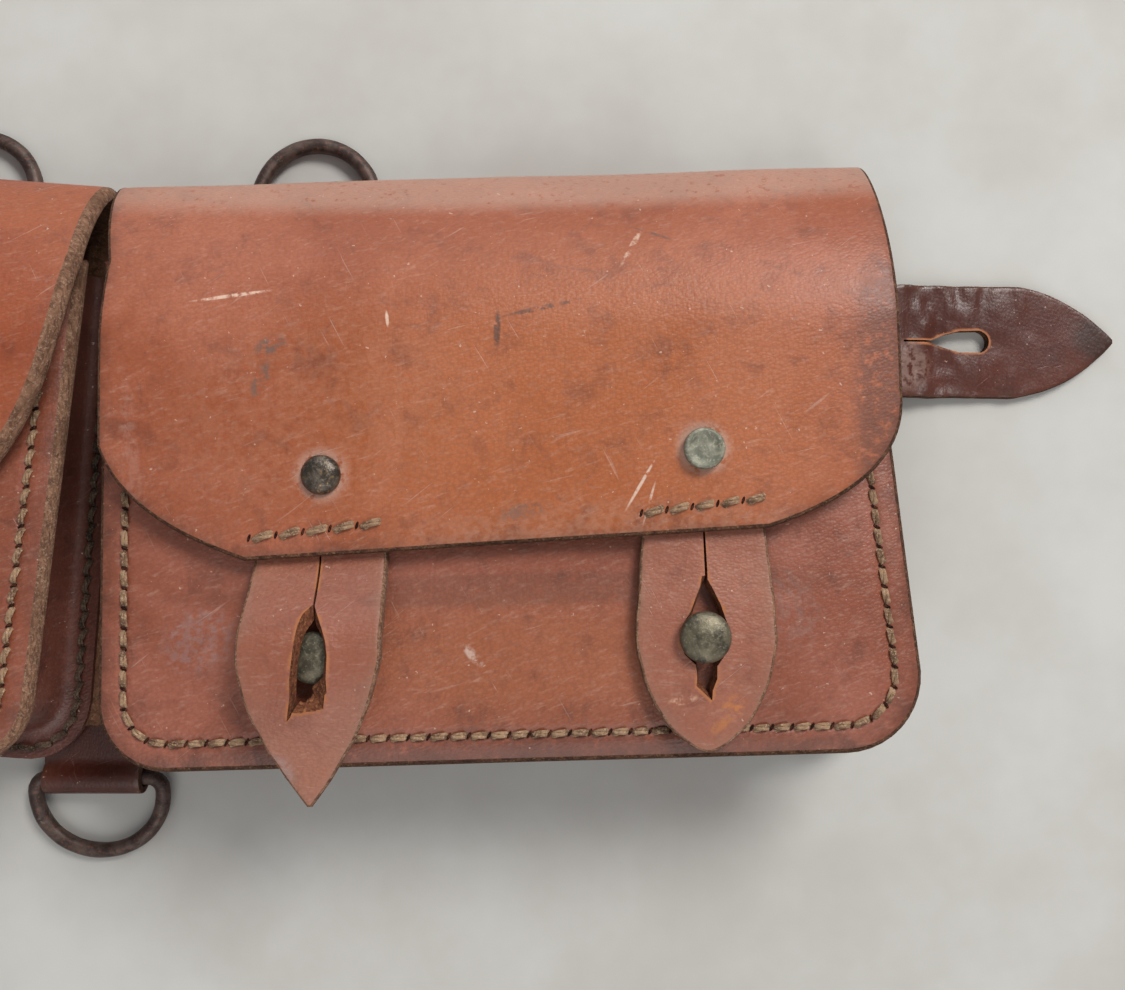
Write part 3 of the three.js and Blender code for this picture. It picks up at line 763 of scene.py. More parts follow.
@dataclass(frozen=True)
class WaxedThread:
    """Waxed linen thread, browned by handling."""

    name: str = "waxed linen thread"
    body: str = "9b7d62"
    dark: str = "654b39"
    pale: str = "bda184"

    def build(self) -> bpy.types.Material:
        """Returns the material."""
        bench = Workbench(self.name)
        dirt = bench.noise(bench.object, 260, 3, 0.6)
        ply = bench.noise(bench.object, 1900, 3, 0.6, 0.5)
        colour = bench.mix(bench.step(dirt, 0.38, 0.66), shade(self.body), shade(self.dark))
        colour = bench.mix(bench.sum("MULTIPLY", bench.step(ply, 0.5, 0.66), 0.7), colour, shade(self.pale))
        bench.bump(ply, 0.15 * MM, 0.9)
        return bench.dress(Base_Color=colour, Roughness=bench.step(ply, -1.8, 0.8), Specular_IOR_Level=0.3)


@dataclass(frozen=True)
class AgedMetal:
    """Metal under a dull skin, worn through to brighter metal here and there."""

    name: str
    skin: str
    dark: str
    bloom: str
    bare: str
    worn: Point = (0.62, 0.72)
    metal: float = 0.75
    rough: Point = (0.34, 0.62)
    pits: float = 0.12 * MM

    def build(self) -> bpy.types.Material:
        """Returns the material."""
        bench = Workbench(self.name)
        broad = bench.noise(bench.object, 240, 4, 0.6, 0.5)
        fine = bench.noise(bench.object, 1300, 4, 0.7)
        rubbed = bench.step(bench.noise(bench.mapped((3 * MM, 0, 0)), 420, 4, 0.65, 1.0), *self.worn)
        colour = bench.mix(bench.step(broad, 0.36, 0.6), shade(self.skin), shade(self.dark))
        colour = bench.mix(bench.sum("MULTIPLY", bench.step(fine, 0.5, 0.7), 0.6), colour, shade(self.bloom))
        colour = bench.mix(rubbed, colour, shade(self.bare))
        rough = bench.node("ShaderNodeMapRange", {"Value": fine, "From Min": 0.3, "From Max": 0.7,
                                                  "To Min": self.rough[0], "To Max": self.rough[1]}).outputs[0]
        rough = bench.sum("SUBTRACT", rough, bench.sum("MULTIPLY", rubbed, 0.12))
        bench.bump(bench.sum("ADD", fine, broad), self.pits, 0.7)
        return bench.dress(Base_Color=colour, Roughness=rough, Metallic=self.metal)


@dataclass(frozen=True)
class DarkHole:
    """The shadowed inside of an awl slit."""

    name: str = "awl slit"
    body: str = "241510"
    wall: str = "4a2b1e"

    def build(self) -> bpy.types.Material:
        """Returns the material."""
        bench = Workbench(self.name)
        grime = bench.noise(bench.object, 1500, 2)
        colour = bench.mix(bench.step(grime, 0.45, 0.6), shade(self.body), shade(self.wall))
        return bench.dress(Base_Color=colour, Roughness=bench.step(grime, -2.5, 0.6), Specular_IOR_Level=0.1)


@dataclass(frozen=True)
class PaleFloor:
    """A plain pale floor with a faint cloudiness."""

    name: str = "pale floor"
    body: str = "c9c8c3"
    shadow: str = "bbb7b1"

    def build(self) -> bpy.types.Material:
        """Returns the material."""
        bench = Workbench(self.name)
        cloud = bench.noise(bench.object, 9, 5, 0.65)
        colour = bench.mix(bench.step(cloud, 0.3, 0.7), shade(self.body), shade(self.shadow))
        return bench.dress(Base_Color=colour, Roughness=bench.step(cloud, -2.5, 1.0), Specular_IOR_Level=0.2)


FLAP_MARKS = (
    Mark((37.4 * MM, 44.8 * MM), (11 * MM, 0.55 * MM), 8, "e0c0aa", 0.85, 0.45),
    Mark((72.6 * MM, 39.3 * MM), (2.2 * MM, 0.5 * MM), 96, "e0c0aa", 0.85, 0.4),
    Mark((46.4 * MM, 33.3 * MM), (4.5 * MM, 2.6 * MM), 20, "4c4744", 0.75, 0.5),
    Mark((44.2 * MM, 25.5 * MM), (2.4 * MM, 5.5 * MM), -18, "4f4a46", 0.7, 0.5),
    Mark((97.3 * MM, 36.7 * MM), (5.6 * MM, 1.0 * MM), 88, "523a30", 0.8, 0.42),
    Mark((107.4 * MM, 41.9 * MM), (11 * MM, 0.75 * MM), 13, "523a30", 0.7, 0.48),
    Mark((128 * MM, 57 * MM), (7 * MM, 0.8 * MM), 62, "d9b9a2", 0.7, 0.55),
    Mark((133 * MM, 60 * MM), (6 * MM, 0.5 * MM), -20, "4c4039", 0.6, 0.5),
    # The dark strip along the outer edge is painted shade where the flap curves down.
    Mark((186 * MM, 18 * MM), (11 * MM, 42 * MM), 3, "5d3a30", 0.65, 0.4),
    Mark((103 * MM, -4 * MM), (8 * MM, 2.2 * MM), 10, "5a3d33", 0.6, 0.5),
    Mark((129.5 * MM, 2 * MM), (8 * MM, 0.45 * MM), 60, "dcc0ae", 0.8, 0.42),
    Mark((131.5 * MM, -2 * MM), (6 * MM, 0.4 * MM), 74, "dcc0ae", 0.7, 0.42),
    Mark((15 * MM, 2 * MM), (3 * MM, 30 * MM), 4, "c9aca0", 0.12, 0.5),
    # The broad pale band along the rolled top is partly worn leather and partly a painted sheen, a highlight painted
    # into the colour.
    Mark((105 * MM, 76 * MM), (150 * MM, 11 * MM), 1.6, "c2a594", 0.4, 0.34),
    Mark((57.8 * MM, 4.2 * MM), (7.4 * MM, 7.4 * MM), 0, "c9a999", 0.6, 0.4),
    Mark((143.7 * MM, 10.2 * MM), (7.4 * MM, 7.4 * MM), 0, "cbb0a0", 0.6, 0.4),
    Mark((24 * MM, -22 * MM), (16 * MM, 20 * MM), 30, "c39a86", 0.22, 0.5),
    Mark((55 * MM, 18 * MM), (44 * MM, 30 * MM), 15, "b98469", 0.14, 0.48),
    Mark((120 * MM, -8 * MM), (60 * MM, 8 * MM), 2, "bd8f78", 0.2, 0.48),
)

FRONT_MARKS = (
    Mark((28.5 * MM, -33.7 * MM), (11 * MM, 9 * MM), 30, "8c7f80", 0.28, 0.5),
    Mark((91.5 * MM, -37 * MM), (4 * MM, 1.4 * MM), -48, "cbb0a2", 0.7, 0.48),
    Mark((164 * MM, -26 * MM), (9 * MM, 12 * MM), 30, "8d7b76", 0.2, 0.5),
    # The dark band just under the flap's lower edge is a painted shadow of the flap.
    Mark((100 * MM, -22 * MM), (95 * MM, 5 * MM), 1.5, "5c3a2e", 0.35, 0.35),
    Mark((92 * MM, -58 * MM), (80 * MM, 5 * MM), 1.5, "5f3a30", 0.45, 0.42),
)


STRAP_MARKS = (
    Mark((139 * MM, -46 * MM), (4 * MM, 1.3 * MM), 12, "d0a588", 0.75, 0.5),
    Mark((150 * MM, -48 * MM), (3 * MM, 4 * MM), -35, "b36f3e", 0.8, 0.5),
    Mark((148 * MM, -51 * MM), (5 * MM, 1.6 * MM), 40, "a9683c", 0.8, 0.46),
    Mark((48 * MM, -62 * MM), (6 * MM, 6 * MM), 0, "a58f8c", 0.4, 0.46),
)

TAB_MARKS = (
    Mark((258 * MM, 42 * MM), (12 * MM, 9 * MM), 0, "2f1c15", 0.75, 0.36),
    Mark((203 * MM, 34 * MM), (9 * MM, 8 * MM), 0, "9d8074", 0.5, 0.46),
)


class Palette:
    """Every finish of the object, built once."""

    def __init__(self) -> None:
        """Builds the finishes."""
        edge = RawLeather("cut leather edge", "5f3f2f", "38241b", "92704f").build()
        torn_edge = RawLeather("torn leather", "7d4a32", "4d291b", "b07b50").build()
        bright_edge = RawLeather("worn leather edge", "8b6650", "5d4030", "b49a84").build()
        flesh = RawLeather("leather flesh side", "7d5740", "5a3b2b", "9a7a60").build()
        flap = GrainLeather("flap leather", "984f30", "a86044", "6a3726", "47291f", (118 * MM, 14 * MM),
                            (95 * MM, 60 * MM), "b0622f", marks=FLAP_MARKS)
        left_flap = GrainLeather("left flap leather", "94482a", "a25634", "66321f", "5a3a2e",
                                 (-70 * MM, 10 * MM), (70 * MM, 60 * MM), "a5512a")
        front = GrainLeather("front leather", "8a4b35", "9a5a46", "5c3227", "44291f", (100 * MM, -38 * MM),
                             (70 * MM, 22 * MM), "a05c38", gloss=(0.3, 0.52), marks=FRONT_MARKS)
        strap = GrainLeather("strap leather", "925540", "a0644d", "6c3b2c", "8f6b58", (0, 0), (1 * MM, 1 * MM),
                             scuff="c7a493", lean=2, gloss=(0.34, 0.56), scratches=0.3, marks=STRAP_MARKS)
        tab = GrainLeather("tab leather", "481c0f", "582617", "33160e", "5c3a2d", (0, 0), (1 * MM, 1 * MM),
                           scuff="6a3f30", lean=88, gloss=(0.3, 0.48), relief=0.05 * MM, scratches=0.15,
                           marks=TAB_MARKS)
        gusset = GrainLeather("gusset leather", "5c3228", "6f4034", "37201a", "3d2119", (0, 0), (1 * MM, 1 * MM),
                              scuff="8f7066", gloss=(0.3, 0.5), scratches=0.3)
        self.flap = [flap.build(), flesh, edge]
        self.left_flap = [left_flap.build(), flesh, bright_edge]
        front_leather = front.build()
        self.front = [front_leather, flesh, edge]
        self.left_front = [front_leather, flesh, bright_edge]
        self.strap = [strap.build(), flesh, bright_edge, torn_edge]
        self.tab = [tab.build(), flesh, edge, edge]
        self.gusset = [gusset.build(), flesh, edge]
        self.thread = [WaxedThread().build(), DarkHole().build()]
        # A darkened copy of the thread for the rear seams and the stitches underneath: painted shade, not grime.
        self.rear_thread = [WaxedThread("grimy linen thread", "58463a", "33271f", "7d6a57").build()]
        self.stud = [AgedMetal("stud bronze", "6e6653", "4a4437", "908a76", "ab9467", (0.66, 0.78),
                               metal=0.55, rough=(0.32, 0.52)).build()]
        self.dark_rivet = [AgedMetal("dark rivet bronze", "6c6155", "463e36", "8d8275", "a88455", (0.6, 0.72),
                                     metal=0.65, rough=(0.24, 0.42)).build()]
        self.green_rivet = [AgedMetal("green rivet bronze", "94917f", "6d6d5e", "bbb8a5", "b8ac90", (0.62, 0.74),
                                      metal=0.25, rough=(0.4, 0.65), pits=0.16 * MM).build()]
        self.ring = [AgedMetal("ring iron", "5a4a43", "3a2c27", "86523f", "8f8277", (0.62, 0.74), metal=0.4,
                               rough=(0.36, 0.58), pits=0.18 * MM).build()]


# ---- The pouch body -------------------------------------------------------------------------------


@dataclass
class PouchPlan:
    """The outline that the front panel, the gusset and their seams share, in a half frame."""

    half: HalfFrame
    inner_corner: float = 16 * MM
    outer_corner: float = 18 * MM
    outer_narrowing: float = 7.5 * MM
    seam_inset: float = 6.5 * MM
    low: Vector = field(init=False)
    high: Vector = field(init=False)
    slope: float = field(init=False)

    def __post_init__(self) -> None:
        """Measures the front panel."""
        self.low, self.high = self.half.box("front_panel")
        self.thickness = 3 * MM
        across = self.high.y - self.low.y
        self.slope = (self.high.z - self.low.z - self.thickness) / across

    def edge(self, inset: float) -> list[Point]:
        """Returns the open line down the inner side, round the bottom and up the outer side."""
        left, right, foot = self.low.x + inset, self.high.x - inset, self.low.y + inset
        inner = max(self.inner_corner - inset, 2 * MM)
        outer = max(self.outer_corner - inset, 2 * MM)
        return [
            (left, self.high.y),
            *arc((left + inner, foot + inner), inner, 180, 270),
            *arc((right - outer, foot + outer), outer, 270, 360),
            (right - self.outer_narrowing, self.high.y),
        ]

    def front(self, v: float) -> float:
        """Returns the height of the front panel's grain face."""
        return self.high.z - (v - self.low.y) * self.slope

    def droop(self, inset: float) -> float:
        """Returns how far the margin outside the seam hangs down."""
        return 1.1 * MM * (max(self.seam_inset - inset, 0) / self.seam_inset) ** 1.5


@dataclass
class BackPanel:
    """The one hide behind both pouches, rolled up at the top to meet the flaps."""

    halves: tuple[HalfFrame, HalfFrame]
    thickness: float = 3 * MM
    fold: float = 77 * MM
    roll_from: float = 62 * MM
    hinge_height: float = 20.85 * MM
    outer: float = 194 * MM
    fold_outer: float = 186 * MM
    shoulder: float = 52 * MM
    corner: float = 20 * MM
    notch: float = 1.5 * MM

    def build(self, palette: Palette) -> bpy.types.Object:
        """Makes the panel, one piece behind both pouches with its top rolled up."""
        left, right = self.halves
        low, _ = right.box("back_panel")
        rise = self.hinge_height - low.z
        angles = [math.radians(270 + 90 * i / 16) for i in range(17)]
        across = self.fold - self.roll_from
        quarter = [
            (self.roll_from + across * math.cos(a), self.hinge_height + rise * math.sin(a)) for a in angles
        ]
        bend = Bend([(low.y - 20 * MM, low.z), *quarter])
        top = low.y - 20 * MM + bend.lengths[-1]
        slot = joint("back_fold")["pos_m"][0]
        side = [
            *arc((self.outer - self.corner, low.y + self.corner), self.corner, 270, 360),
            (self.outer, self.shoulder), (self.fold_outer, self.roll_from), (self.fold_outer, top),
            (self.notch, top),
        ]
        outline = [tuple(right.point(u, v, 0))[:2] for u, v in side]
        outline.append((slot, self.roll_from))
        outline += [tuple(left.point(u, v, 0))[:2] for u, v in reversed(side)]
        backs = {half.side: half.place.inverted() for half in self.halves}

        def lie(x: float, y: float, height: float) -> Vector:
            """Rolls the top of the panel up."""
            half = right if x > slot else left
            local = backs[half.side] @ Vector((x, y, 0))
            v, z = bend.at(local.y - low.y + 20 * MM, height)
            return half.point(local.x, v, z)

        cut = Cut(outline, self.thickness, lie, cell=5 * MM, joined=lambda p: p[1] > self.fold)
        piece = finish_mesh(cut.build(), "back_panel_leather", palette.front)
        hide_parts("left_back_panel", "right_back_panel")
        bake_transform(piece)
        return piece


@dataclass
class FrontPanel:
    """The front of one pouch, pulled down into a groove along its seam."""

    plan: PouchPlan
    pitch: float = 4.6 * MM
    groove: float = 0.5 * MM
    groove_width: float = 1.1 * MM
    crown: float = 0.5 * MM

    def relief(self, x: float, y: float, edge: float) -> float:
        """Returns how far the panel stands up at a place."""
        seam = self.plan.seam_inset
        dip = self.groove * math.exp(-(((edge - seam) / self.groove_width) ** 2))
        crown = self.crown * (1 - math.exp(-max(edge - seam, 0) / (12 * MM)))
        uneven = 0.35 * MM * waver(Vector((x, y, 0.3)), 38 * MM)
        return crown - dip - self.plan.droop(edge) + uneven

    def build(self, palette: Palette) -> list[bpy.types.Object]:
        """Makes the panel and its stitching."""
        plan, half = self.plan, self.plan.half
        bend = Bend([(plan.high.y, plan.front(plan.high.y)), (plan.low.y, plan.front(plan.low.y))])
        stretch = bend.lengths[-1] / (plan.high.y - plan.low.y)

        def lie(u: float, down: float, height: float) -> Vector:
            """Lays the panel on its sloping plane."""
            v, z = bend.at(down, height)
            return Vector((u, v, z))

        outline = [(u, (plan.high.y - v) * stretch) for u, v in plan.edge(0)]
        easing = (1.9 if half.side is Side.LEFT else 1.2) * MM
        strips = (4.7 * MM - easing, 1.0 * MM, 0.8 * MM, 0.8 * MM, 1.2 * MM)
        cut = Cut(outline, plan.thickness, lie, strips=strips,
                  relief=self.relief, cell=4.5 * MM, joined=lambda p: p[1] < 0.1 * MM, easing=easing,
                  raw_share=1.0)
        bm = cut.build()
        place_cut(bm, half.place)
        finishes = palette.left_front if half.side is Side.LEFT else palette.front
        panel = finish_mesh(bm, half.name("front_leather"), finishes)
        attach(panel, half.name("half"))
        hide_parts(half.name("front_panel"))

        row = Stitching(half.place)
        line = [(u, v, plan.front(v) - self.groove * 0.2) for u, v in plan.edge(plan.seam_inset)]
        row.along(line, self.pitch, Vector((0, plan.slope, 1)))
        threads = row.finish(half.name("front_stitches"), palette.thread)
        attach(threads, half.name("half"))
        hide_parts(half.name("front_seam"))
        return [panel, threads]


@dataclass
class Gusset:
    """The soft wall round one pouch, with a flange turned out at the front and at the back."""

    plan: PouchPlan
    thickness: float = 2.2 * MM
    wall_inset: float = 8.6 * MM
    sag: float = 4.5 * MM
    rear_spread: Point = (1.023, 1.065)
    rear_seam_inset: float = 3.75 * MM
    pitch: float = 4.6 * MM
    wall_rows: int = 12

    def spread(self, u: float, v: float, share: float) -> Point:
        """Returns where a place of the front outline lies at some share of the way to the rear."""
        fixed = self.plan.low.x + 7.5 * MM
        wide = fixed + (u - fixed) * self.rear_spread[0]
        long = self.plan.high.y + (v - self.plan.high.y) * self.rear_spread[1]
        return u + (wide - u) * share, v + (long - v) * share

    def rows(self, rear: float) -> list[tuple[float, Callable[[float], float], float]]:
        """Returns the lines round the pouch that the gusset is lofted through: inset, height and share."""
        under = self.plan.thickness + 0.3 * MM + self.thickness / 2
        front = self.plan.front
        droop = self.plan.droop
        rows = [(inset, lambda v, inset=inset: front(v) - under - droop(inset), 0.0)
                for inset in (0.8 * MM, 3 * MM, 5.5 * MM, 7.4 * MM)]
        for i in range(self.wall_rows + 1):
            share = i / self.wall_rows
            inset = self.wall_inset + self.sag * math.sin(math.pi * share) ** 1.5

            def height(v: float, share: float = share) -> float:
                """Returns the wall's height at this row."""
                high = front(v) - under - 1.6 * MM
                return high + (rear + 1.6 * MM - high) * share

            rows.append((inset, height, share))
        rows += [(inset, lambda v: rear, 1.0) for inset in (7.2 * MM, 5 * MM, 2.8 * MM, 0.8 * MM)]
        return rows

    def build(self, palette: Palette) -> list[bpy.types.Object]:
        """Makes the gusset and the stitching that holds it to the back."""
        half = self.plan.half
        low, _ = half.box("gusset")
        rear = low.z + self.thickness / 2
        bm = bmesh.new()
        edges: list[bmesh.types.BMEdge] = []
        verts: list[bmesh.types.BMVert] = []
        count = len(refine(self.plan.edge(self.wall_inset), 4 * MM, closed=False))
        for number, (inset, height, share) in enumerate(self.rows(rear)):
            line = evenly(self.plan.edge(inset), count)
            if number == 0:
                verts = [bm.verts.new() for _ in line]
                edges = [bm.edges.new(pair) for pair in zip(verts, verts[1:])]
            else:
                made = bmesh.ops.extrude_edge_only(bm, edges=edges)["geom"]
                fresh = {part for part in made if isinstance(part, bmesh.types.BMVert)}
                verts = [next(e.other_vert(vert) for e in vert.link_edges if e.other_vert(vert) in fresh)
                         for vert in verts]
                edges = [bm.edges.get(pair) for pair in zip(verts, verts[1:])]
            for vert, (u, v) in zip(verts, line):
                u, v = self.spread(u, v, share)
                loose = math.sin(math.pi * share) * 1.4 * MM * waver(Vector((u, v, share * 0.03)), 26 * MM)
                vert.co = Vector((u + loose, v - loose, height(v)))
        bmesh.ops.recalc_face_normals(bm, faces=bm.faces[:])
        bmesh.ops.solidify(bm, geom=bm.faces[:], thickness=self.thickness)
        bmesh.ops.recalc_face_normals(bm, faces=bm.faces[:])
        place_cut(bm, half.place)
        wall = finish_mesh(bm, half.name("gusset_leather"), palette.gusset, sharp=60)
        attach(wall, half.name("half"))
        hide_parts(half.name("gusset"))

        row = Stitching(half.place, slits=False)
        sewn = self.plan.edge(self.rear_seam_inset)
        seam = [(*self.spread(u, v, 1.0), rear + self.thickness / 2) for u, v in sewn]
        row.along(seam, self.pitch, Vector((0, 0, 1)))
        # The rear seam takes the darkened thread, which is painted shade.
        threads = row.finish(half.name("rear_stitches"), palette.rear_thread)
        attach(threads, half.name("half"))
        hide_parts(half.name("rear_seam"))
        return [wall, threads]


def evenly(points: Sequence[Sequence[float]], count: int) -> list[tuple[float, ...]]:
    """Spaces a number of points evenly along an open line, both ends included.

    Returns:
        The points, with as many coordinates as the line has.
    """
    places = np.array(points)
    lengths = np.concatenate([[0], np.cumsum(np.linalg.norm(np.diff(places, axis=0), axis=1))])
    marks = np.linspace(0, lengths[-1], count)
    return [tuple(float(np.interp(mark, lengths, column)) for column in places.T) for mark in marks]


# ---- Stitching ------------------------------------------------------------------------------------


@dataclass
class Stitching:
    """Saddle stitches: short slanted bars of three twisted plies that dive into the leather at each end."""

    place: Matrix
    slits: bool = True
    ply: float = 0.42 * MM
    twist: float = 150.0
    slant: float = 9.0
    bm: bmesh.types.BMesh = field(init=False, default_factory=bmesh.new)

    def template(self, length: float) -> bpy.types.Mesh:
        """Returns one stitch of a given length, lying along x."""
        made = bmesh.new()
        for strand in range(3):
            tube = bmesh.new()
            bmesh.ops.create_cone(tube, cap_ends=True, segments=5, radius1=self.ply, radius2=self.ply,
                                  depth=length)
            long = [e for e in tube.edges if abs(e.verts[0].co.z - e.verts[1].co.z) > length / 2]
            bmesh.ops.subdivide_edges(tube, edges=long, cuts=3, use_grid_fill=True)
            for vert in tube.verts:
                share = vert.co.z / length
                angle = math.radians(120 * strand + self.twist * share)
                arch = 0.75 * self.ply - 3.2 * self.ply * (2 * share) ** 4
                side = self.ply * 1.05 * math.cos(angle)
                up = self.ply * 0.8 * math.sin(angle)
                vert.co = Vector((vert.co.z, vert.co.x + side, vert.co.y + up + arch))
            piece = bpy.data.meshes.new("ply")
            tube.to_mesh(piece)
            tube.free()
            made.from_mesh(piece)
            bpy.data.meshes.remove(piece)
        mesh = bpy.data.meshes.new("stitch")
        made.to_mesh(mesh)
        made.free()
        return mesh

    def slit_template(self) -> bpy.types.Mesh:
        """Returns one awl slit, a dark lens that lies on the leather: painted shade in place of a cut slit."""
        made = bmesh.new()
        bmesh.ops.create_uvsphere(made, u_segments=8, v_segments=4, radius=1)
        bmesh.ops.scale(made, vec=(0.95 * MM, 0.36 * MM, 0.14 * MM), verts=made.verts[:])
        for face in made.faces:
            face.material_index = 1
        mesh = bpy.data.meshes.new("slit")
        made.to_mesh(mesh)
        made.free()
        return mesh

    def stamp(self, template: bpy.types.Mesh, place: Matrix) -> None:
        """Adds a copy of a template."""
        before = len(self.bm.verts)
        self.bm.from_mesh(template)
        self.bm.verts.ensure_lookup_table()
        bmesh.ops.transform(self.bm, matrix=place, verts=self.bm.verts[before:])

    def along(self, line: Sequence[Sequence[float]], pitch: float, up: Vector, cover: float = 0.96) -> None:
        """Sews along an open line.

        Args:
            line: its points in the half frame.
            pitch: about how long each stitch is.
            up: the way that the leather faces.
            cover: how much of its pitch a stitch takes.
        """
        places = [Vector(p) for p in line]
        length = sum((b - a).length for a, b in zip(places, places[1:]))
        count = max(1, round(length / pitch))
        ends = [Vector(p) for p in evenly(line, count + 1)]
        stitch = self.template(length / count * cover)
        slit = self.slit_template()
        normal = up.normalized()
        for i, (a, b) in enumerate(zip(ends, ends[1:])):
            run = (b - a).normalized()
            side = normal.cross(run)
            axes = Matrix((run, side, normal)).transposed().to_4x4()
            lean = self.slant + 5 * waver(Vector((i * 0.73, 0, 0)), 1.0)
            turn = Matrix.Rotation(math.radians(lean), 4, "Z")
            self.stamp(stitch, Matrix.Translation((a + b) / 2) @ axes @ turn)
            if self.slits:
                across = Matrix.Rotation(math.radians(52 + lean), 4, "Z")
                self.stamp(slit, Matrix.Translation(a) @ axes @ across)
        bpy.data.meshes.remove(stitch)
        bpy.data.meshes.remove(slit)

    def finish(self, name: str, thread: list[bpy.types.Material]) -> bpy.types.Object:
        """Returns the row as a piece."""
        place_cut(self.bm, self.place)
        return finish_mesh(self.bm, name, thread, sharp=70)


# ---- Flap and closing straps ----------------------------------------------------------------------


@dataclass
class Flap:
    """The flap of one pouch, from the hinge line at the back over the fold to its front edge."""

    half: HalfFrame
    inner_edge: list[Point]
    thickness: float = 3 * MM
    roll_rise: float = 6 * MM
    roll_over: Point = (62 * MM, 46 * MM)
    flat_from: float = 36 * MM
    outer_edge: tuple[Point, ...] = ((155.4 * MM, -11.8 * MM), (186 * MM, -3 * MM), (186.6 * MM, 15.5 * MM))
    droop: float = 1.0 * MM
    dimple: float = 7 * MM
    settling: float = 60 * MM
    strap_reach: float = 18 * MM
    strap_gap: float = 0.15 * MM

    def build(self, palette: Palette) -> bpy.types.Object:
        """Makes the flap, which bends at the fold."""
        low, high = self.half.box("flap")
        fold = self.half.box("back_panel")[1].y
        back = self.half.box("back_panel")[1].z
        handles = ((fold, back), (fold, back + self.roll_rise), self.roll_over, (self.flat_from, high.z))
        bend = Bend([*bezier(*handles, steps=48), (low.y - 10 * MM, high.z)])
        outer = bezier(*self.outer_edge, steps=16)
        plan = [*self.inner_edge, *outer, (high.x - 0.6 * MM, fold)]
        outline = [(u, bend.reach(v)) for u, v in refine(plan, 7 * MM)]
        rivets = [self.half.middle(f"{name}_rivet") for name in ("inner", "outer")]

        def relief(u: float, down: float, edge: float) -> float:
            """Returns how far the flap stands up at a place."""
            over = min(abs(u - rivet.x) for rivet in rivets)
            held = 1 - 0.8 * math.exp(-((over / (14 * MM)) ** 4))
            settled = min(down / self.settling, 1)
            rise = -self.droop * held * settled * math.exp(-edge / (7 * MM))
            rise += 0.45 * MM * waver(Vector((u, down, 0.7)), 46 * MM)
            for rivet in rivets:
                near = math.hypot(u - rivet.x, down - bend.reach(rivet.y))
                rise -= 0.35 * MM * math.exp(-((near / self.dimple) ** 2))
            clear = min(max((over - self.strap_reach) / (12 * MM), 0), 1)
            return max(rise, -(self.strap_gap + 1.5 * MM * clear))

        def lie(u: float, down: float, height: float) -> Vector:
            """Bends the flap over the fold."""
            v, z = bend.at(down, height)
            return Vector((u, v, z))

        left = self.half.side is Side.LEFT
        cut = Cut(outline, self.thickness, lie, cell=3 * MM, strips=(1.5 * MM, 1.5 * MM), relief=relief,
                  joined=lambda p: p[1] < 0.1 * MM, easing=(2.6 if left else 1.0) * MM,
                  raw_share=1.0, wear_reach=2 * MM)
        bm = cut.build()
        place_cut(bm, self.half.place)
        finishes = palette.left_flap if left else palette.flap
        piece = finish_mesh(bm, self.half.name("flap_leather"), finishes)
        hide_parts(self.half.name("flap"))
        self.half.name("half")
        self.half.name("flap_body")
        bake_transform(piece)
        return piece


# The slots as they have torn, about the middle of the stud: across and along the strap, on each face
PULLED_OPEN = Hole(
    top=[
        (0.45, 12.6), (-0.1, 12.0), (-1.5, 10.3), (-2.3, 7.8), (-2.9, 4.4), (-3.3, 1.6), (-3.9, -3.2),
        (-4.1, -7.2), (-5.2, -13.4), (-4.4, -12.4), (-3.8, -11.2), (-1.6, -11.4), (1.4, -11.0),
        (3.1, -10.6), (3.5, -7.5), (3.9, -3.6), (4.2, 0.9), (3.9, 3.8), (2.9, 7.0), (1.6, 10.2),
        (0.9, 12.2),
    ],
    foot=[
        (0.5, 10.4), (0.3, 10.0), (-0.4, 8.6), (-1.2, 6.6), (-1.9, 3.8), (-2.4, 0.9), (-2.9, -2.9),
        (-3.2, -6.4), (-3.6, -10.4), (-3.2, -10.1), (-2.6, -9.6), (-1.4, -10.0), (-0.1, -8.8),
        (0.6, -7.8), (0.4, -6.2), (2.8, -3.2), (3.2, 0.6), (3.0, 3.4), (2.3, 6.2), (1.2, 8.6),
        (0.7, 10.0),
    ],
)
SPLIT_BELOW = Hole(
    top=[
        (0.75, 13.4), (0.1, 13.2), (-0.5, 10.8), (-1.6, 8.4), (-2.9, 5.2), (-4.7, 2.6), (-5.5, -0.6),
        (-4.6, -4.2), (-2.2, -6.6), (-2.0, -9.0), (-2.2, -11.2), (-0.4, -13.0), (1.2, -14.6),
        (1.4, -12.4), (2.5, -9.8), (2.6, -7.0), (4.6, -4.4), (5.5, -0.6), (5.1, 3.0), (4.0, 6.6),
        (2.5, 10.0), (1.3, 12.4),
    ],
    foot=[
        (0.7, 12.0), (0.4, 11.6), (-0.2, 9.8), (-1.2, 7.6), (-2.3, 4.8), (-4.0, 2.4), (-4.9, -0.6),
        (-4.0, -3.9), (-1.7, -6.2), (-1.5, -8.8), (-1.5, -10.6), (-0.2, -12.0), (0.9, -13.2),
        (1.0, -11.6), (1.9, -9.4), (2.0, -6.6), (4.0, -4.0), (4.9, -0.6), (4.5, 2.8), (3.4, 6.0),
        (2.0, 9.2), (1.0, 11.2),
    ],
)
HOLES = {Wear.PULLED_OPEN: PULLED_OPEN, Wear.SPLIT_BELOW: SPLIT_BELOW}


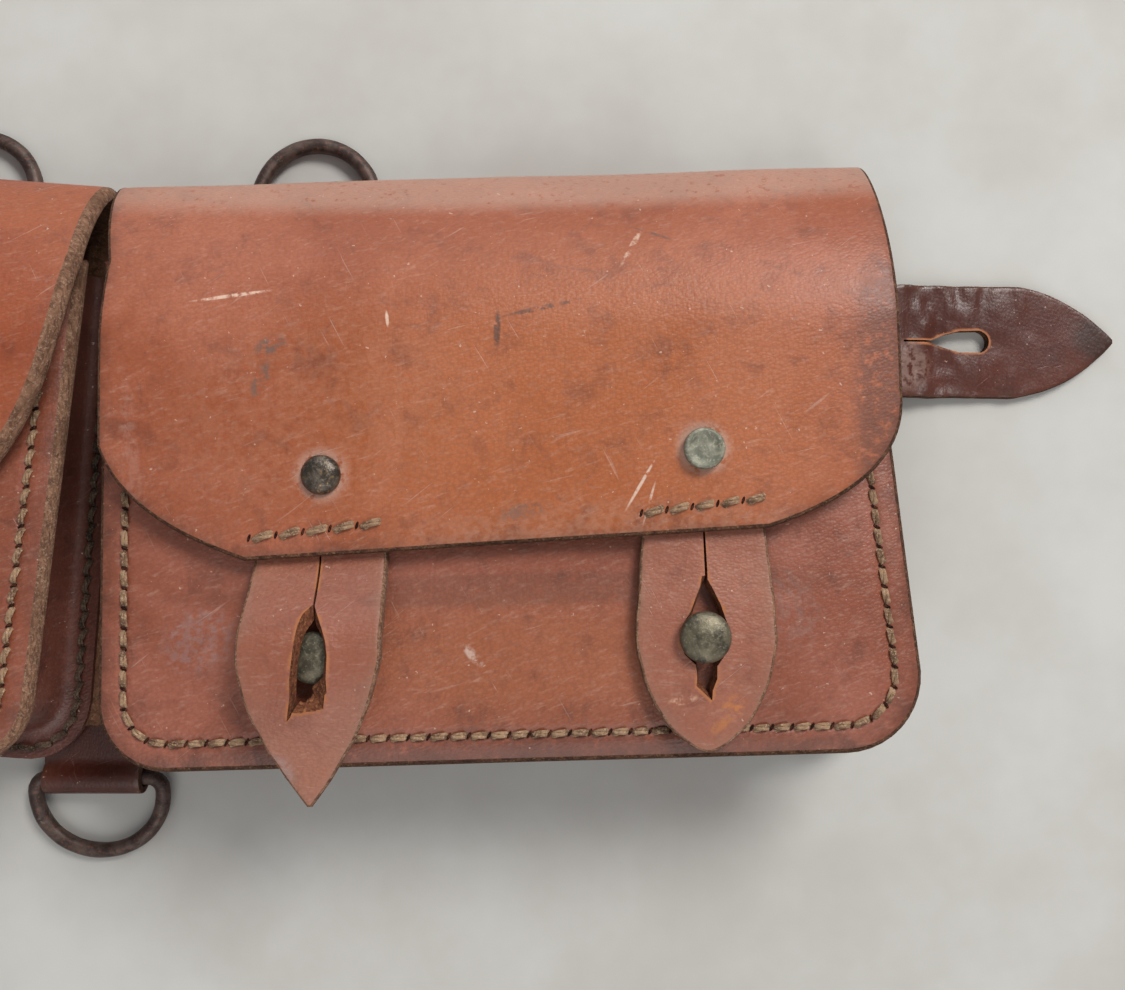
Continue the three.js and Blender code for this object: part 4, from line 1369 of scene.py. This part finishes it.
@dataclass
class ClosingStrap:
    """A strap riveted and sewn under the flap, with a slit that opens into its torn slot."""

    half: HalfFrame
    name: str
    wear: Wear
    line: list[Point]
    length: float
    lean: float
    blunt: float = 0.0
    thickness: float = 2.8 * MM
    width: float = 32 * MM
    widest_at: float = 20 * MM
    base: float = 28 * MM
    slit: float = 0.45 * MM
    slit_below: float = -1 * MM
    curl: float = 0.8 * MM

    def outline(self, root: float) -> list[Point]:
        """Returns the strap's flat outline, measured down from the top of its base."""
        wide, bend, tip = self.width / 2, self.base, self.base + self.length
        bulge = self.base + self.length * (0.62 + 0.16 * self.blunt)
        near = self.base + self.length * (0.86 + 0.12 * self.blunt)
        spread = wide * (0.4 + 0.2 * self.blunt)
        side = bezier((wide, bend + self.widest_at), (wide, bulge), (spread, near), (0.6 * MM, tip), steps=18)
        right = [(root, 0), (root, bend), *side]
        left = [(-x, y) for x, y in reversed(right)]
        lean = math.tan(math.radians(self.lean))
        rag = 0.25 * MM
        line = [(x + lean * max(y - bend, 0), y) for x, y in [*right, *left]]
        return [(x + rag * waver(Vector((x, y, 0.2)), 5 * MM), y) for x, y in refine(line, 1.5 * MM)]

    def build(self, palette: Palette) -> list[bpy.types.Object]:
        """Makes the strap, which bends where it leaves the flap, and its row of stitches."""
        half = self.half
        low, high = half.box(f"{self.name}_strap_base")
        stud = half.middle(f"{self.name}_stud")
        centre = (low.x + high.x) / 2
        start = high.y
        soft = rounded([(start, high.z), (low.y + 2 * MM, high.z), *self.line], 3)
        bend = Bend(soft, spacing=0.8 * MM)
        place = bend.reach(stud.y)
        hole = HOLES[self.wear]
        lip = [(0.5 * self.slit, self.base + self.slit_below), (-0.5 * self.slit, self.base + self.slit_below)]

        def around(points: Sequence[Point]) -> list[Point]:
            """Places the slot about the stud, with the slit above it."""
            return [(stud.x - centre + x * MM, place - y * MM) for x, y in points]

        hole = Hole([*lip, *around(hole.top)], [*lip, *around(hole.foot)])

        def relief(x: float, y: float, edge: float) -> float:
            """Returns how far the strap stands up at a place."""
            near = math.hypot(x - (stud.x - centre), (y - place) / 2.2)
            lifted = self.curl * math.exp(-((near / (6.5 * MM)) ** 2))
            uneven = 0.3 * MM * waver(Vector((x, y, 0.9)), 16 * MM)
            wrinkles = 0.09 * MM * waver(Vector((x * 0.35, y, 0.4)), 2.2 * MM)
            return (lifted + uneven + wrinkles) if y > self.base else 0.0

        def lie(x: float, y: float, height: float) -> Vector:
            """Bends the strap along its line."""
            v, z = bend.at(y, height)
            return Vector((centre + x, v, z))

        cut = Cut(self.outline((high.x - low.x) / 2), self.thickness, lie, cell=1.8 * MM, holes=[hole],
                  easing=0.7 * MM, relief=relief, wear_reach=1.6 * MM, torn_reach=0.6 * MM, raw_share=1.0)
        bm = cut.build()
        place_cut(bm, half.place)
        piece = finish_mesh(bm, half.name(f"{self.name}_strap_leather"), palette.strap)
        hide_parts(half.name(f"{self.name}_strap_base"), half.name(f"{self.name}_strap"))
        crease = half.point(centre, low.y + 1 * MM, high.z)
        free = half.point(centre, low.y - 6 * MM, high.z)
        half.name("flap_body")
        half.name(f"{self.name}_strap_tongue")
        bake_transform(piece)

        seam_low, seam_high = half.box(f"{self.name}_strap_seam")
        row = Stitching(half.place, ply=0.46 * MM, slant=14)
        rise = 0.9 * MM
        row.along([(seam_low.x, seam_low.y - rise, seam_low.z - 0.3 * MM),
                   (seam_high.x, seam_low.y + 2 * rise, seam_low.z - 0.3 * MM)], 6 * MM, Vector((0, 0, 1)))
        threads = row.finish(half.name(f"{self.name}_strap_stitches"), palette.thread)
        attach(threads, half.name("flap_body"))
        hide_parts(half.name(f"{self.name}_strap_seam"))
        return [piece, threads]


# ---- Rivets and studs -----------------------------------------------------------------------------


@dataclass
class RoundFitting:
    """A turned rivet or stud, a little dented by use."""

    half: HalfFrame
    node: str
    profile: list[Point]
    body: str
    tilt: float = 0.0
    dent: float = 0.12 * MM
    dent_size: float = 3 * MM

    def build(self, finishes: list[bpy.types.Material], slot: str) -> bpy.types.Object:
        """Makes the fitting where its CAD node is."""
        half = self.half
        low, high = half.box(self.node)
        bm = lathe(self.profile)
        for vert in bm.verts:
            vert.co += Vector((0, 0, 1)) * self.dent * waver(vert.co + Vector((low.x, 0, 0)), self.dent_size)
        foot = Vector(((low.x + high.x) / 2, (low.y + high.y) / 2, high.z))
        top = max(height for _, height in self.profile)
        place = Matrix.Translation(foot) @ Matrix.Rotation(self.tilt, 4, "X")
        place = place @ Matrix.Translation((0, 0, -top))
        bmesh.ops.transform(bm, matrix=place, verts=bm.verts[:])
        place_cut(bm, half.place)
        piece = finish_mesh(bm, half.name(self.node + "_metal"), finishes, sharp=50)
        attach(piece, half.name(self.body))
        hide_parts(half.name(self.node))
        return piece


def domed_rivet(cap: float = 4.5 * MM, rise: float = 2.2 * MM, depth: float = 6.6 * MM) -> list[Point]:
    """Returns the profile of a rivet with a smooth dome."""
    dome = [(cap * math.cos(a), rise * math.sin(a)) for a in (math.radians(9 * i) for i in range(11))]
    return [(0, -depth), (1.6 * MM, -depth), (1.6 * MM, -0.2 * MM), (cap, -0.2 * MM), *dome[:-1], (0, rise)]


def flat_rivet(cap: float = 4.6 * MM, rise: float = 1.5 * MM, depth: float = 6.6 * MM) -> list[Point]:
    """Returns the profile of a rivet with a flat top inside a low rim."""
    return [(0, -depth), (1.6 * MM, -depth), (1.6 * MM, -0.2 * MM), (cap, -0.2 * MM), (cap + 0.1 * MM, rise * 0.4),
            (cap - 0.1 * MM, rise * 0.85), (cap - 0.6 * MM, rise), (cap - 1.1 * MM, rise * 0.9),
            (cap - 1.6 * MM, rise * 0.62), (cap * 0.45, rise * 0.6), (cap * 0.25, rise * 0.72), (0, rise * 0.74)]


def mushroom_stud(head: float = 5.8 * MM, neck: float = 2.5 * MM, rise: float = 9.2 * MM) -> list[Point]:
    """Returns the profile of a stud with a flattened dome on a waisted neck."""
    under, flange, below = rise - 4 * MM, 5 * MM, 6 * MM
    crown = [(head * (1 - (i / 9) ** 3.2) ** 0.6, under + 1.4 * MM + (rise - under - 1.4 * MM) * (i / 9))
             for i in range(9)]
    return [(0, -below), (1.8 * MM, -below), (1.8 * MM, 0.3 * MM), (flange, 0.3 * MM), (flange, 0.8 * MM),
            (neck + 0.6 * MM, 1.3 * MM), (neck, 2.4 * MM), (neck, under - 0.6 * MM), (head * 0.72, under),
            (head * 0.95, under + 0.5 * MM), *crown, (head * 0.3, rise * 0.995), (0, rise)]


# ---- Rings and chapes -----------------------------------------------------------------------------


@dataclass
class HangingRing:
    """A wire ring with a straight bar, and the sewn leather chape that holds it."""

    name: str
    chape: str
    place: Matrix
    holder: str
    shift: float = 0.0
    wire: float = 4 * MM
    reach: float = 22.3 * MM
    corner: float = 3.5 * MM
    tail: float = 22 * MM
    leather: float = 2 * MM
    sides: int = 12

    def path(self, width: float) -> list[Point]:
        """Returns the wire's middle line, with its bar on the x axis."""
        half, corner = (width - self.wire) / 2, self.corner
        shoulder = corner + 1 * MM
        crown = self.reach - self.wire / 2 - shoulder
        top = [(half * math.cos(a), shoulder + crown * math.sin(a))
               for a in (math.radians(180 - 180 * i / 36) for i in range(37))]
        line = [
            *arc((-half + corner, corner), corner, 270, 180, 5),
            *top,
            *arc((half - corner, corner), corner, 0, -90, 5),
        ]
        return refine(line, 2.5 * MM)

    def build(self, palette: Palette) -> list[bpy.types.Object]:
        """Makes the ring, its chape and the chape's stitches."""
        low, high = corners(self.name, self.place)
        line = self.path(high.x - low.x)
        bm = bmesh.new()
        loops = []
        for i, here in enumerate(line):
            run = (Vector(line[(i + 1) % len(line)]) - Vector(line[i - 1])).normalized()
            out = Vector((run.y, -run.x, 0))
            axes = Matrix((out, Vector((0, 0, 1)), run.to_3d())).transposed().to_4x4()
            uneven = 1 + 0.05 * waver(Vector((*here, 0.1)), 5 * MM)
            made = bmesh.ops.create_circle(bm, segments=self.sides, radius=self.wire / 2 * uneven,
                                           matrix=Matrix.Translation((*here, 0)) @ axes)
            loops.append(list({edge for vert in made["verts"] for edge in vert.link_edges}))
        for a, b in zip(loops, loops[1:] + loops[:1]):
            bmesh.ops.bridge_loops(bm, edges=a + b)
        bmesh.ops.recalc_face_normals(bm, faces=bm.faces[:])
        drop = math.asin((-low.z - self.wire / 2) / (self.reach - self.wire / 2))
        turn = Matrix.Translation((self.shift, 0, 0)) @ Matrix.Rotation(-drop, 4, "X")
        bmesh.ops.transform(bm, matrix=turn, verts=bm.verts[:])
        place_cut(bm, self.place)
        ring = finish_mesh(bm, self.name + "_wire", palette.ring, sharp=80)
        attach(ring, self.name + "_body")
        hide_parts(self.name)
        return [ring, *self._build_chape(palette)]

    def _build_chape(self, palette: Palette) -> list[bpy.types.Object]:
        """Makes the strip that is folded round the ring's bar, and its box of stitches."""
        low, high = corners(self.chape, self.place)
        outer = (high.z - low.z) / 2
        loop = arc((0, 0), outer, 207, 513, 30)
        line = rounded([(-self.tail, -self.leather), (-outer - 3 * MM, -self.leather)], 0) + loop
        line += [(-outer - 3 * MM, self.leather), (-self.tail, self.leather)]
        bend = Bend(line, spacing=0.8 * MM)
        half, length = (high.x - low.x) / 2, float(bend.lengths[-1])

        def lie(x: float, y: float, height: float) -> Vector:
            """Folds the strip round the bar."""
            along, up = bend.at(y, height)
            return Vector((x, along, up))

        outline = [(-half, 0), (half, 0), (half, length), (-half, length)]
        cut = Cut(outline, self.leather - 0.1 * MM, lie, cell=1.5 * MM, easing=0.5 * MM, wear_reach=2 * MM)
        bm = cut.build()
        place_cut(bm, self.place)
        chape = finish_mesh(bm, self.chape + "_leather", palette.tab)
        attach(chape, self.holder)
        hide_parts(self.chape)

        seam_low, seam_high = corners(self.chape + "_seam", self.place)
        threads = box_of_stitches(self.place, seam_low, seam_high, self.chape + "_stitches", palette)
        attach(threads, self.holder)
        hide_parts(self.chape + "_seam")
        return [chape, threads]


def box_of_stitches(place: Matrix, low: Vector, high: Vector, name: str, palette: Palette) -> bpy.types.Object:
    """Sews round a box on the underside of a piece.

    Returns:
        The stitches as one piece.
    """
    inset = 0.5 * MM
    left, right, foot, top = low.x + inset, high.x - inset, low.y + inset, high.y - inset
    rows = Stitching(place, slits=False)
    path = [(left, foot), (right, foot), (right, top), (left, top), (left, foot)]
    for a, b in zip(path, path[1:]):
        rows.along([(*a, high.z), (*b, high.z)], 4 * MM, Vector((0, 0, -1)))
    # Stitches on the underside take the darkened thread, which is painted shade.
    return rows.finish(name, palette.rear_thread)


# ---- End tabs -------------------------------------------------------------------------------------


@dataclass
class EndTab:
    """The keyhole tab at the end of the belt, sewn behind the back panel."""

    half: HalfFrame
    thickness: float = 3 * MM
    drop: float = 13 * MM
    lean: float = -1.5
    slot_end: float = 26 * MM
    slot_width: float = 6 * MM
    slot_length: float = 16 * MM
    slit_length: float = 8 * MM
    crease_reach: float = 26 * MM

    def build(self, palette: Palette) -> list[bpy.types.Object]:
        """Makes the tab, which folds at its crease, and its box of stitches."""
        half = self.half
        root_low, root_high = half.box("end_tab_root")
        tip = half.box("end_tab")[1].x
        start = root_high.x
        begin = root_low.x
        top = root_high.z
        bend = Bend(rounded([(begin, top), (start, top), (start + self.drop * 0.5, top - 1.3 * MM),
                             (start + self.drop, self.thickness), (tip + 5 * MM, self.thickness)], 2), over=-1.0)
        centre, wide = (root_low.y + root_high.y) / 2, (root_high.y - root_low.y) / 2
        root, length = start - begin, tip - start
        side = bezier((wide, root + length * 0.5), (wide * 1.04, root + length * 0.7),
                      (wide * 0.5, root + length * 0.9), (0.5 * MM, root + length), steps=18)
        right = [(wide, 0), (wide, root), *side]
        line = refine([*right, *[(-x, y) for x, y in reversed(right)]], 1.5 * MM)
        lean = math.tan(math.radians(self.lean))
        line = [(x + lean * max(y - root, 0), x, y) for x, y in line]
        outline = [(leant + 0.25 * MM * waver(Vector((x, y, 0.6)), 6 * MM), y) for leant, x, y in line]

        slot_to, radius = root + self.slot_end, self.slot_width / 2
        slot_from = slot_to - self.slot_length
        eye = [(radius * math.sin(a), slot_to - radius + radius * math.cos(a))
               for a in (math.radians(100 - 200 * i / 14) for i in range(15))]
        slit = 0.25 * MM
        shape = [(slit, slot_from - self.slit_length), (slit, slot_from), (radius * 0.62, slot_from + 4 * MM),
                 (radius * 0.95, slot_from + 8 * MM), *eye, (-radius * 0.95, slot_from + 8 * MM),
                 (-radius * 0.62, slot_from + 4 * MM), (-slit, slot_from),
                 (-slit, slot_from - self.slit_length)]
        shape = [(x + lean * (y - root), y) for x, y in shape]

        def relief(x: float, y: float, edge: float) -> float:
            """Returns how far the creases across the tab's base stand up."""
            past = y - root
            fade = math.exp(-((max(past - 8 * MM, 0) / self.crease_reach) ** 2))
            fade *= min(max(past / (5 * MM), 0), 1)
            folds = waver(Vector((x * 0.3, y, 0.5)), 3.4 * MM)
            folds += 0.5 * waver(Vector((x * 0.5, y, 0.8)), 1.7 * MM)
            return 1.1 * MM * fade * folds + 0.25 * MM * waver(Vector((x, y, 0.1)), 14 * MM) * (past > 0)

        def lie(x: float, y: float, height: float) -> Vector:
            """Lays the tab down from the back panel to the ground, and no lower."""
            u, z = bend.at(y, height)
            return Vector((u, centre + x, max(z, 0.0)))

        cut = Cut(outline, self.thickness, lie, cell=1.3 * MM, holes=[Hole(shape, shape)], easing=0.8 * MM,
                  relief=relief, wear_reach=1.2 * MM, torn_reach=0.5 * MM)
        bm = cut.build()
        place_cut(bm, half.place)
        piece = finish_mesh(bm, half.name("end_tab_leather"), palette.tab)
        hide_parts(half.name("end_tab_root"), half.name("end_tab"))
        half.name("half")
        half.name("end_tab_tongue")
        half.point(start - 3 * MM, centre, top)
        half.point(start + 3.6 * MM, centre, top)
        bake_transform(piece)

        seam_low, seam_high = half.box("end_tab_seam")
        threads = box_of_stitches(half.place, seam_low, seam_high, half.name("end_tab_stitches"), palette)
        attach(threads, half.name("half"))
        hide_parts(half.name("end_tab_seam"))
        return [piece, threads]


# ---- The whole belt -------------------------------------------------------------------------------


LIFTED_LINE = [(-16.5, 46.0), (-21, 48.6), (-27, 53.6), (-32, 56.6), (-40, 57.4), (-48, 56.8), (-60, 53.8),
               (-84, 50.6)]
BUTTONED_LINE = [(-14, 46.4), (-20, 47.0), (-32, 49.0), (-42, 49.8), (-50, 50.4), (-80, 52.2)]


@dataclass
class Pouch:
    """One pouch with everything on it."""

    half: HalfFrame
    inner_edge: list[Point]
    inner_strap: ClosingStrap
    outer_strap: ClosingStrap

    def build(self, palette: Palette) -> None:
        """Makes the pouch."""
        half = self.half
        plan = PouchPlan(half)
        FrontPanel(plan).build(palette)
        Gusset(plan).build(palette)
        Flap(half, self.inner_edge).build(palette)
        self.inner_strap.build(palette)
        self.outer_strap.build(palette)
        tilt = -math.atan(plan.slope)
        RoundFitting(half, "inner_rivet", domed_rivet(), "flap_body").build(palette.dark_rivet, "rivet_bronze")
        RoundFitting(half, "outer_rivet", flat_rivet(), "flap_body").build(palette.green_rivet, "rivet_bronze")
        for name in ("inner", "outer"):
            stud = RoundFitting(half, f"{name}_stud", mushroom_stud(), "half", tilt)
            stud.build(palette.stud, "stud_bronze")
            for node in (f"{name}_rivet_burr", f"{name}_stud_washer"):
                self._coat(half.name(node), palette.stud[0])
        EndTab(half).build(palette)
        pivot = Vector(joint(half.name("top_ring_swing"))["pos_m"])
        place = Matrix.Translation(pivot) @ half.place.to_3x3().to_4x4()
        HangingRing(half.name("top_ring"), half.name("top_chape"), place, half.name("half")).build(palette)

    @staticmethod
    def _coat(node: str, material: bpy.types.Material) -> None:
        """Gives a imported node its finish."""
        mesh = frame["nodes"][node].data
        mesh.materials.clear()
        mesh.materials.append(material)


def millimetres(points: Sequence[Point]) -> list[Point]:
    """Returns points given in millimetres in metres."""
    return [(x * MM, y * MM) for x, y in points]


class ToolBelt:
    """The two pouches on their one back, with the ring that hangs between them."""

    def __init__(self) -> None:
        """Lays out the pouches."""
        right, left = HalfFrame(Side.RIGHT), HalfFrame(Side.LEFT)
        lifted, buttoned = millimetres(LIFTED_LINE), millimetres(BUTTONED_LINE)
        curve = bezier((4.1, 10.8), (9, -6), (37, -16), steps=14)
        right_edge = millimetres([(0.5, 77), (5.8, 54), *curve])
        curve = bezier((-0.5, 42), (4, 0), (37, -16), steps=18)
        left_edge = millimetres([(0.5, 77), (-1.2, 56), *curve])
        self.halves = (left, right)
        self.pouches = [
            Pouch(right, right_edge,
                  ClosingStrap(right, "inner", Wear.PULLED_OPEN, lifted, 58 * MM, -2.5),
                  ClosingStrap(right, "outer", Wear.SPLIT_BELOW, buttoned, 48.5 * MM, -1.0, blunt=0.7)),
            Pouch(left, left_edge,
                  ClosingStrap(left, "inner", Wear.SPLIT_BELOW, buttoned, 49 * MM, 0.5, blunt=0.4),
                  ClosingStrap(left, "outer", Wear.SPLIT_BELOW, buttoned, 48.5 * MM, -0.5, blunt=0.6)),
        ]

    def build(self, palette: Palette) -> None:
        """Makes every piece."""
        BackPanel(self.halves).build(palette)
        for pouch in self.pouches:
            pouch.build(palette)
        pivot = Vector(joint("bottom_ring_swing")["pos_m"])
        low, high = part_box("bottom_chape")
        chape_middle = (low.x + high.x) / 2
        place = Matrix.Translation((chape_middle, pivot.y, pivot.z)) @ Matrix.Rotation(math.pi, 4, "Z")
        HangingRing("bottom_ring", "bottom_chape", place, "left_half",
                    shift=chape_middle - pivot.x).build(palette)


# ---- The studio -----------------------------------------------------------------------------------


@dataclass
class Studio:
    """The floor, the light and the camera."""

    camera_place: tuple[float, float, float] = (0.112, -0.0003, 0.285)
    lens: float = 33.6
    floor_size: float = 3.0

    def build(self) -> None:
        """Sets the studio up."""
        scene = bpy.context.scene
        bm = bmesh.new()
        bmesh.ops.create_grid(bm, x_segments=8, y_segments=8, size=self.floor_size / 2)
        floor = finish_mesh(bm, "floor", [PaleFloor().build()])
        self._lamp("key", (0.95, 1.15, 1.45), 0.75, 32.5, (1.0, 0.985, 0.96))
        self._lamp("fill", (0.1, -1.1, 1.3), 1.3, 9.0, (1.0, 0.99, 0.97))
        self._lamp("sky", (-0.1, 1.5, 0.75), 1.2, 5.5, (0.93, 0.97, 1.0))
        world = bpy.data.worlds.new("studio")
        world.use_nodes = True
        back = world.node_tree.nodes["Background"]
        back.inputs["Color"].default_value = (0.93, 0.95, 1.0, 1)
        back.inputs["Strength"].default_value = 0.3
        scene.world = world
        scene.view_settings.view_transform = "Standard"
        lens = bpy.data.cameras.new("camera")
        lens.lens = self.lens
        lens.sensor_width = 36
        lens.clip_start = 0.01
        camera = bpy.data.objects.new("camera", lens)
        camera.location = self.camera_place
        scene.collection.objects.link(camera)
        scene.camera = camera

    @staticmethod
    def _lamp(name: str, place: tuple[float, float, float], size: float, watts: float, colour: Colour) -> None:
        """Adds a soft lamp that faces the belt."""
        lamp = bpy.data.lights.new(name, "AREA")
        lamp.size = size
        lamp.energy = watts
        lamp.color = colour
        holder = bpy.data.objects.new(name, lamp)
        holder.location = place
        aim = Vector((0.1, 0, 0)) - Vector(place)
        holder.rotation_euler = aim.to_track_quat("-Z", "Y").to_euler()
        bpy.context.scene.collection.objects.link(holder)


def main() -> None:
    """Dresses the belt and sets up the studio."""
    logging.basicConfig(level=logging.INFO, format="%(message)s")
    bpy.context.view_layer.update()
    Studio().build()
    ToolBelt().build(Palette())


if __name__ == "__main__":
    main()
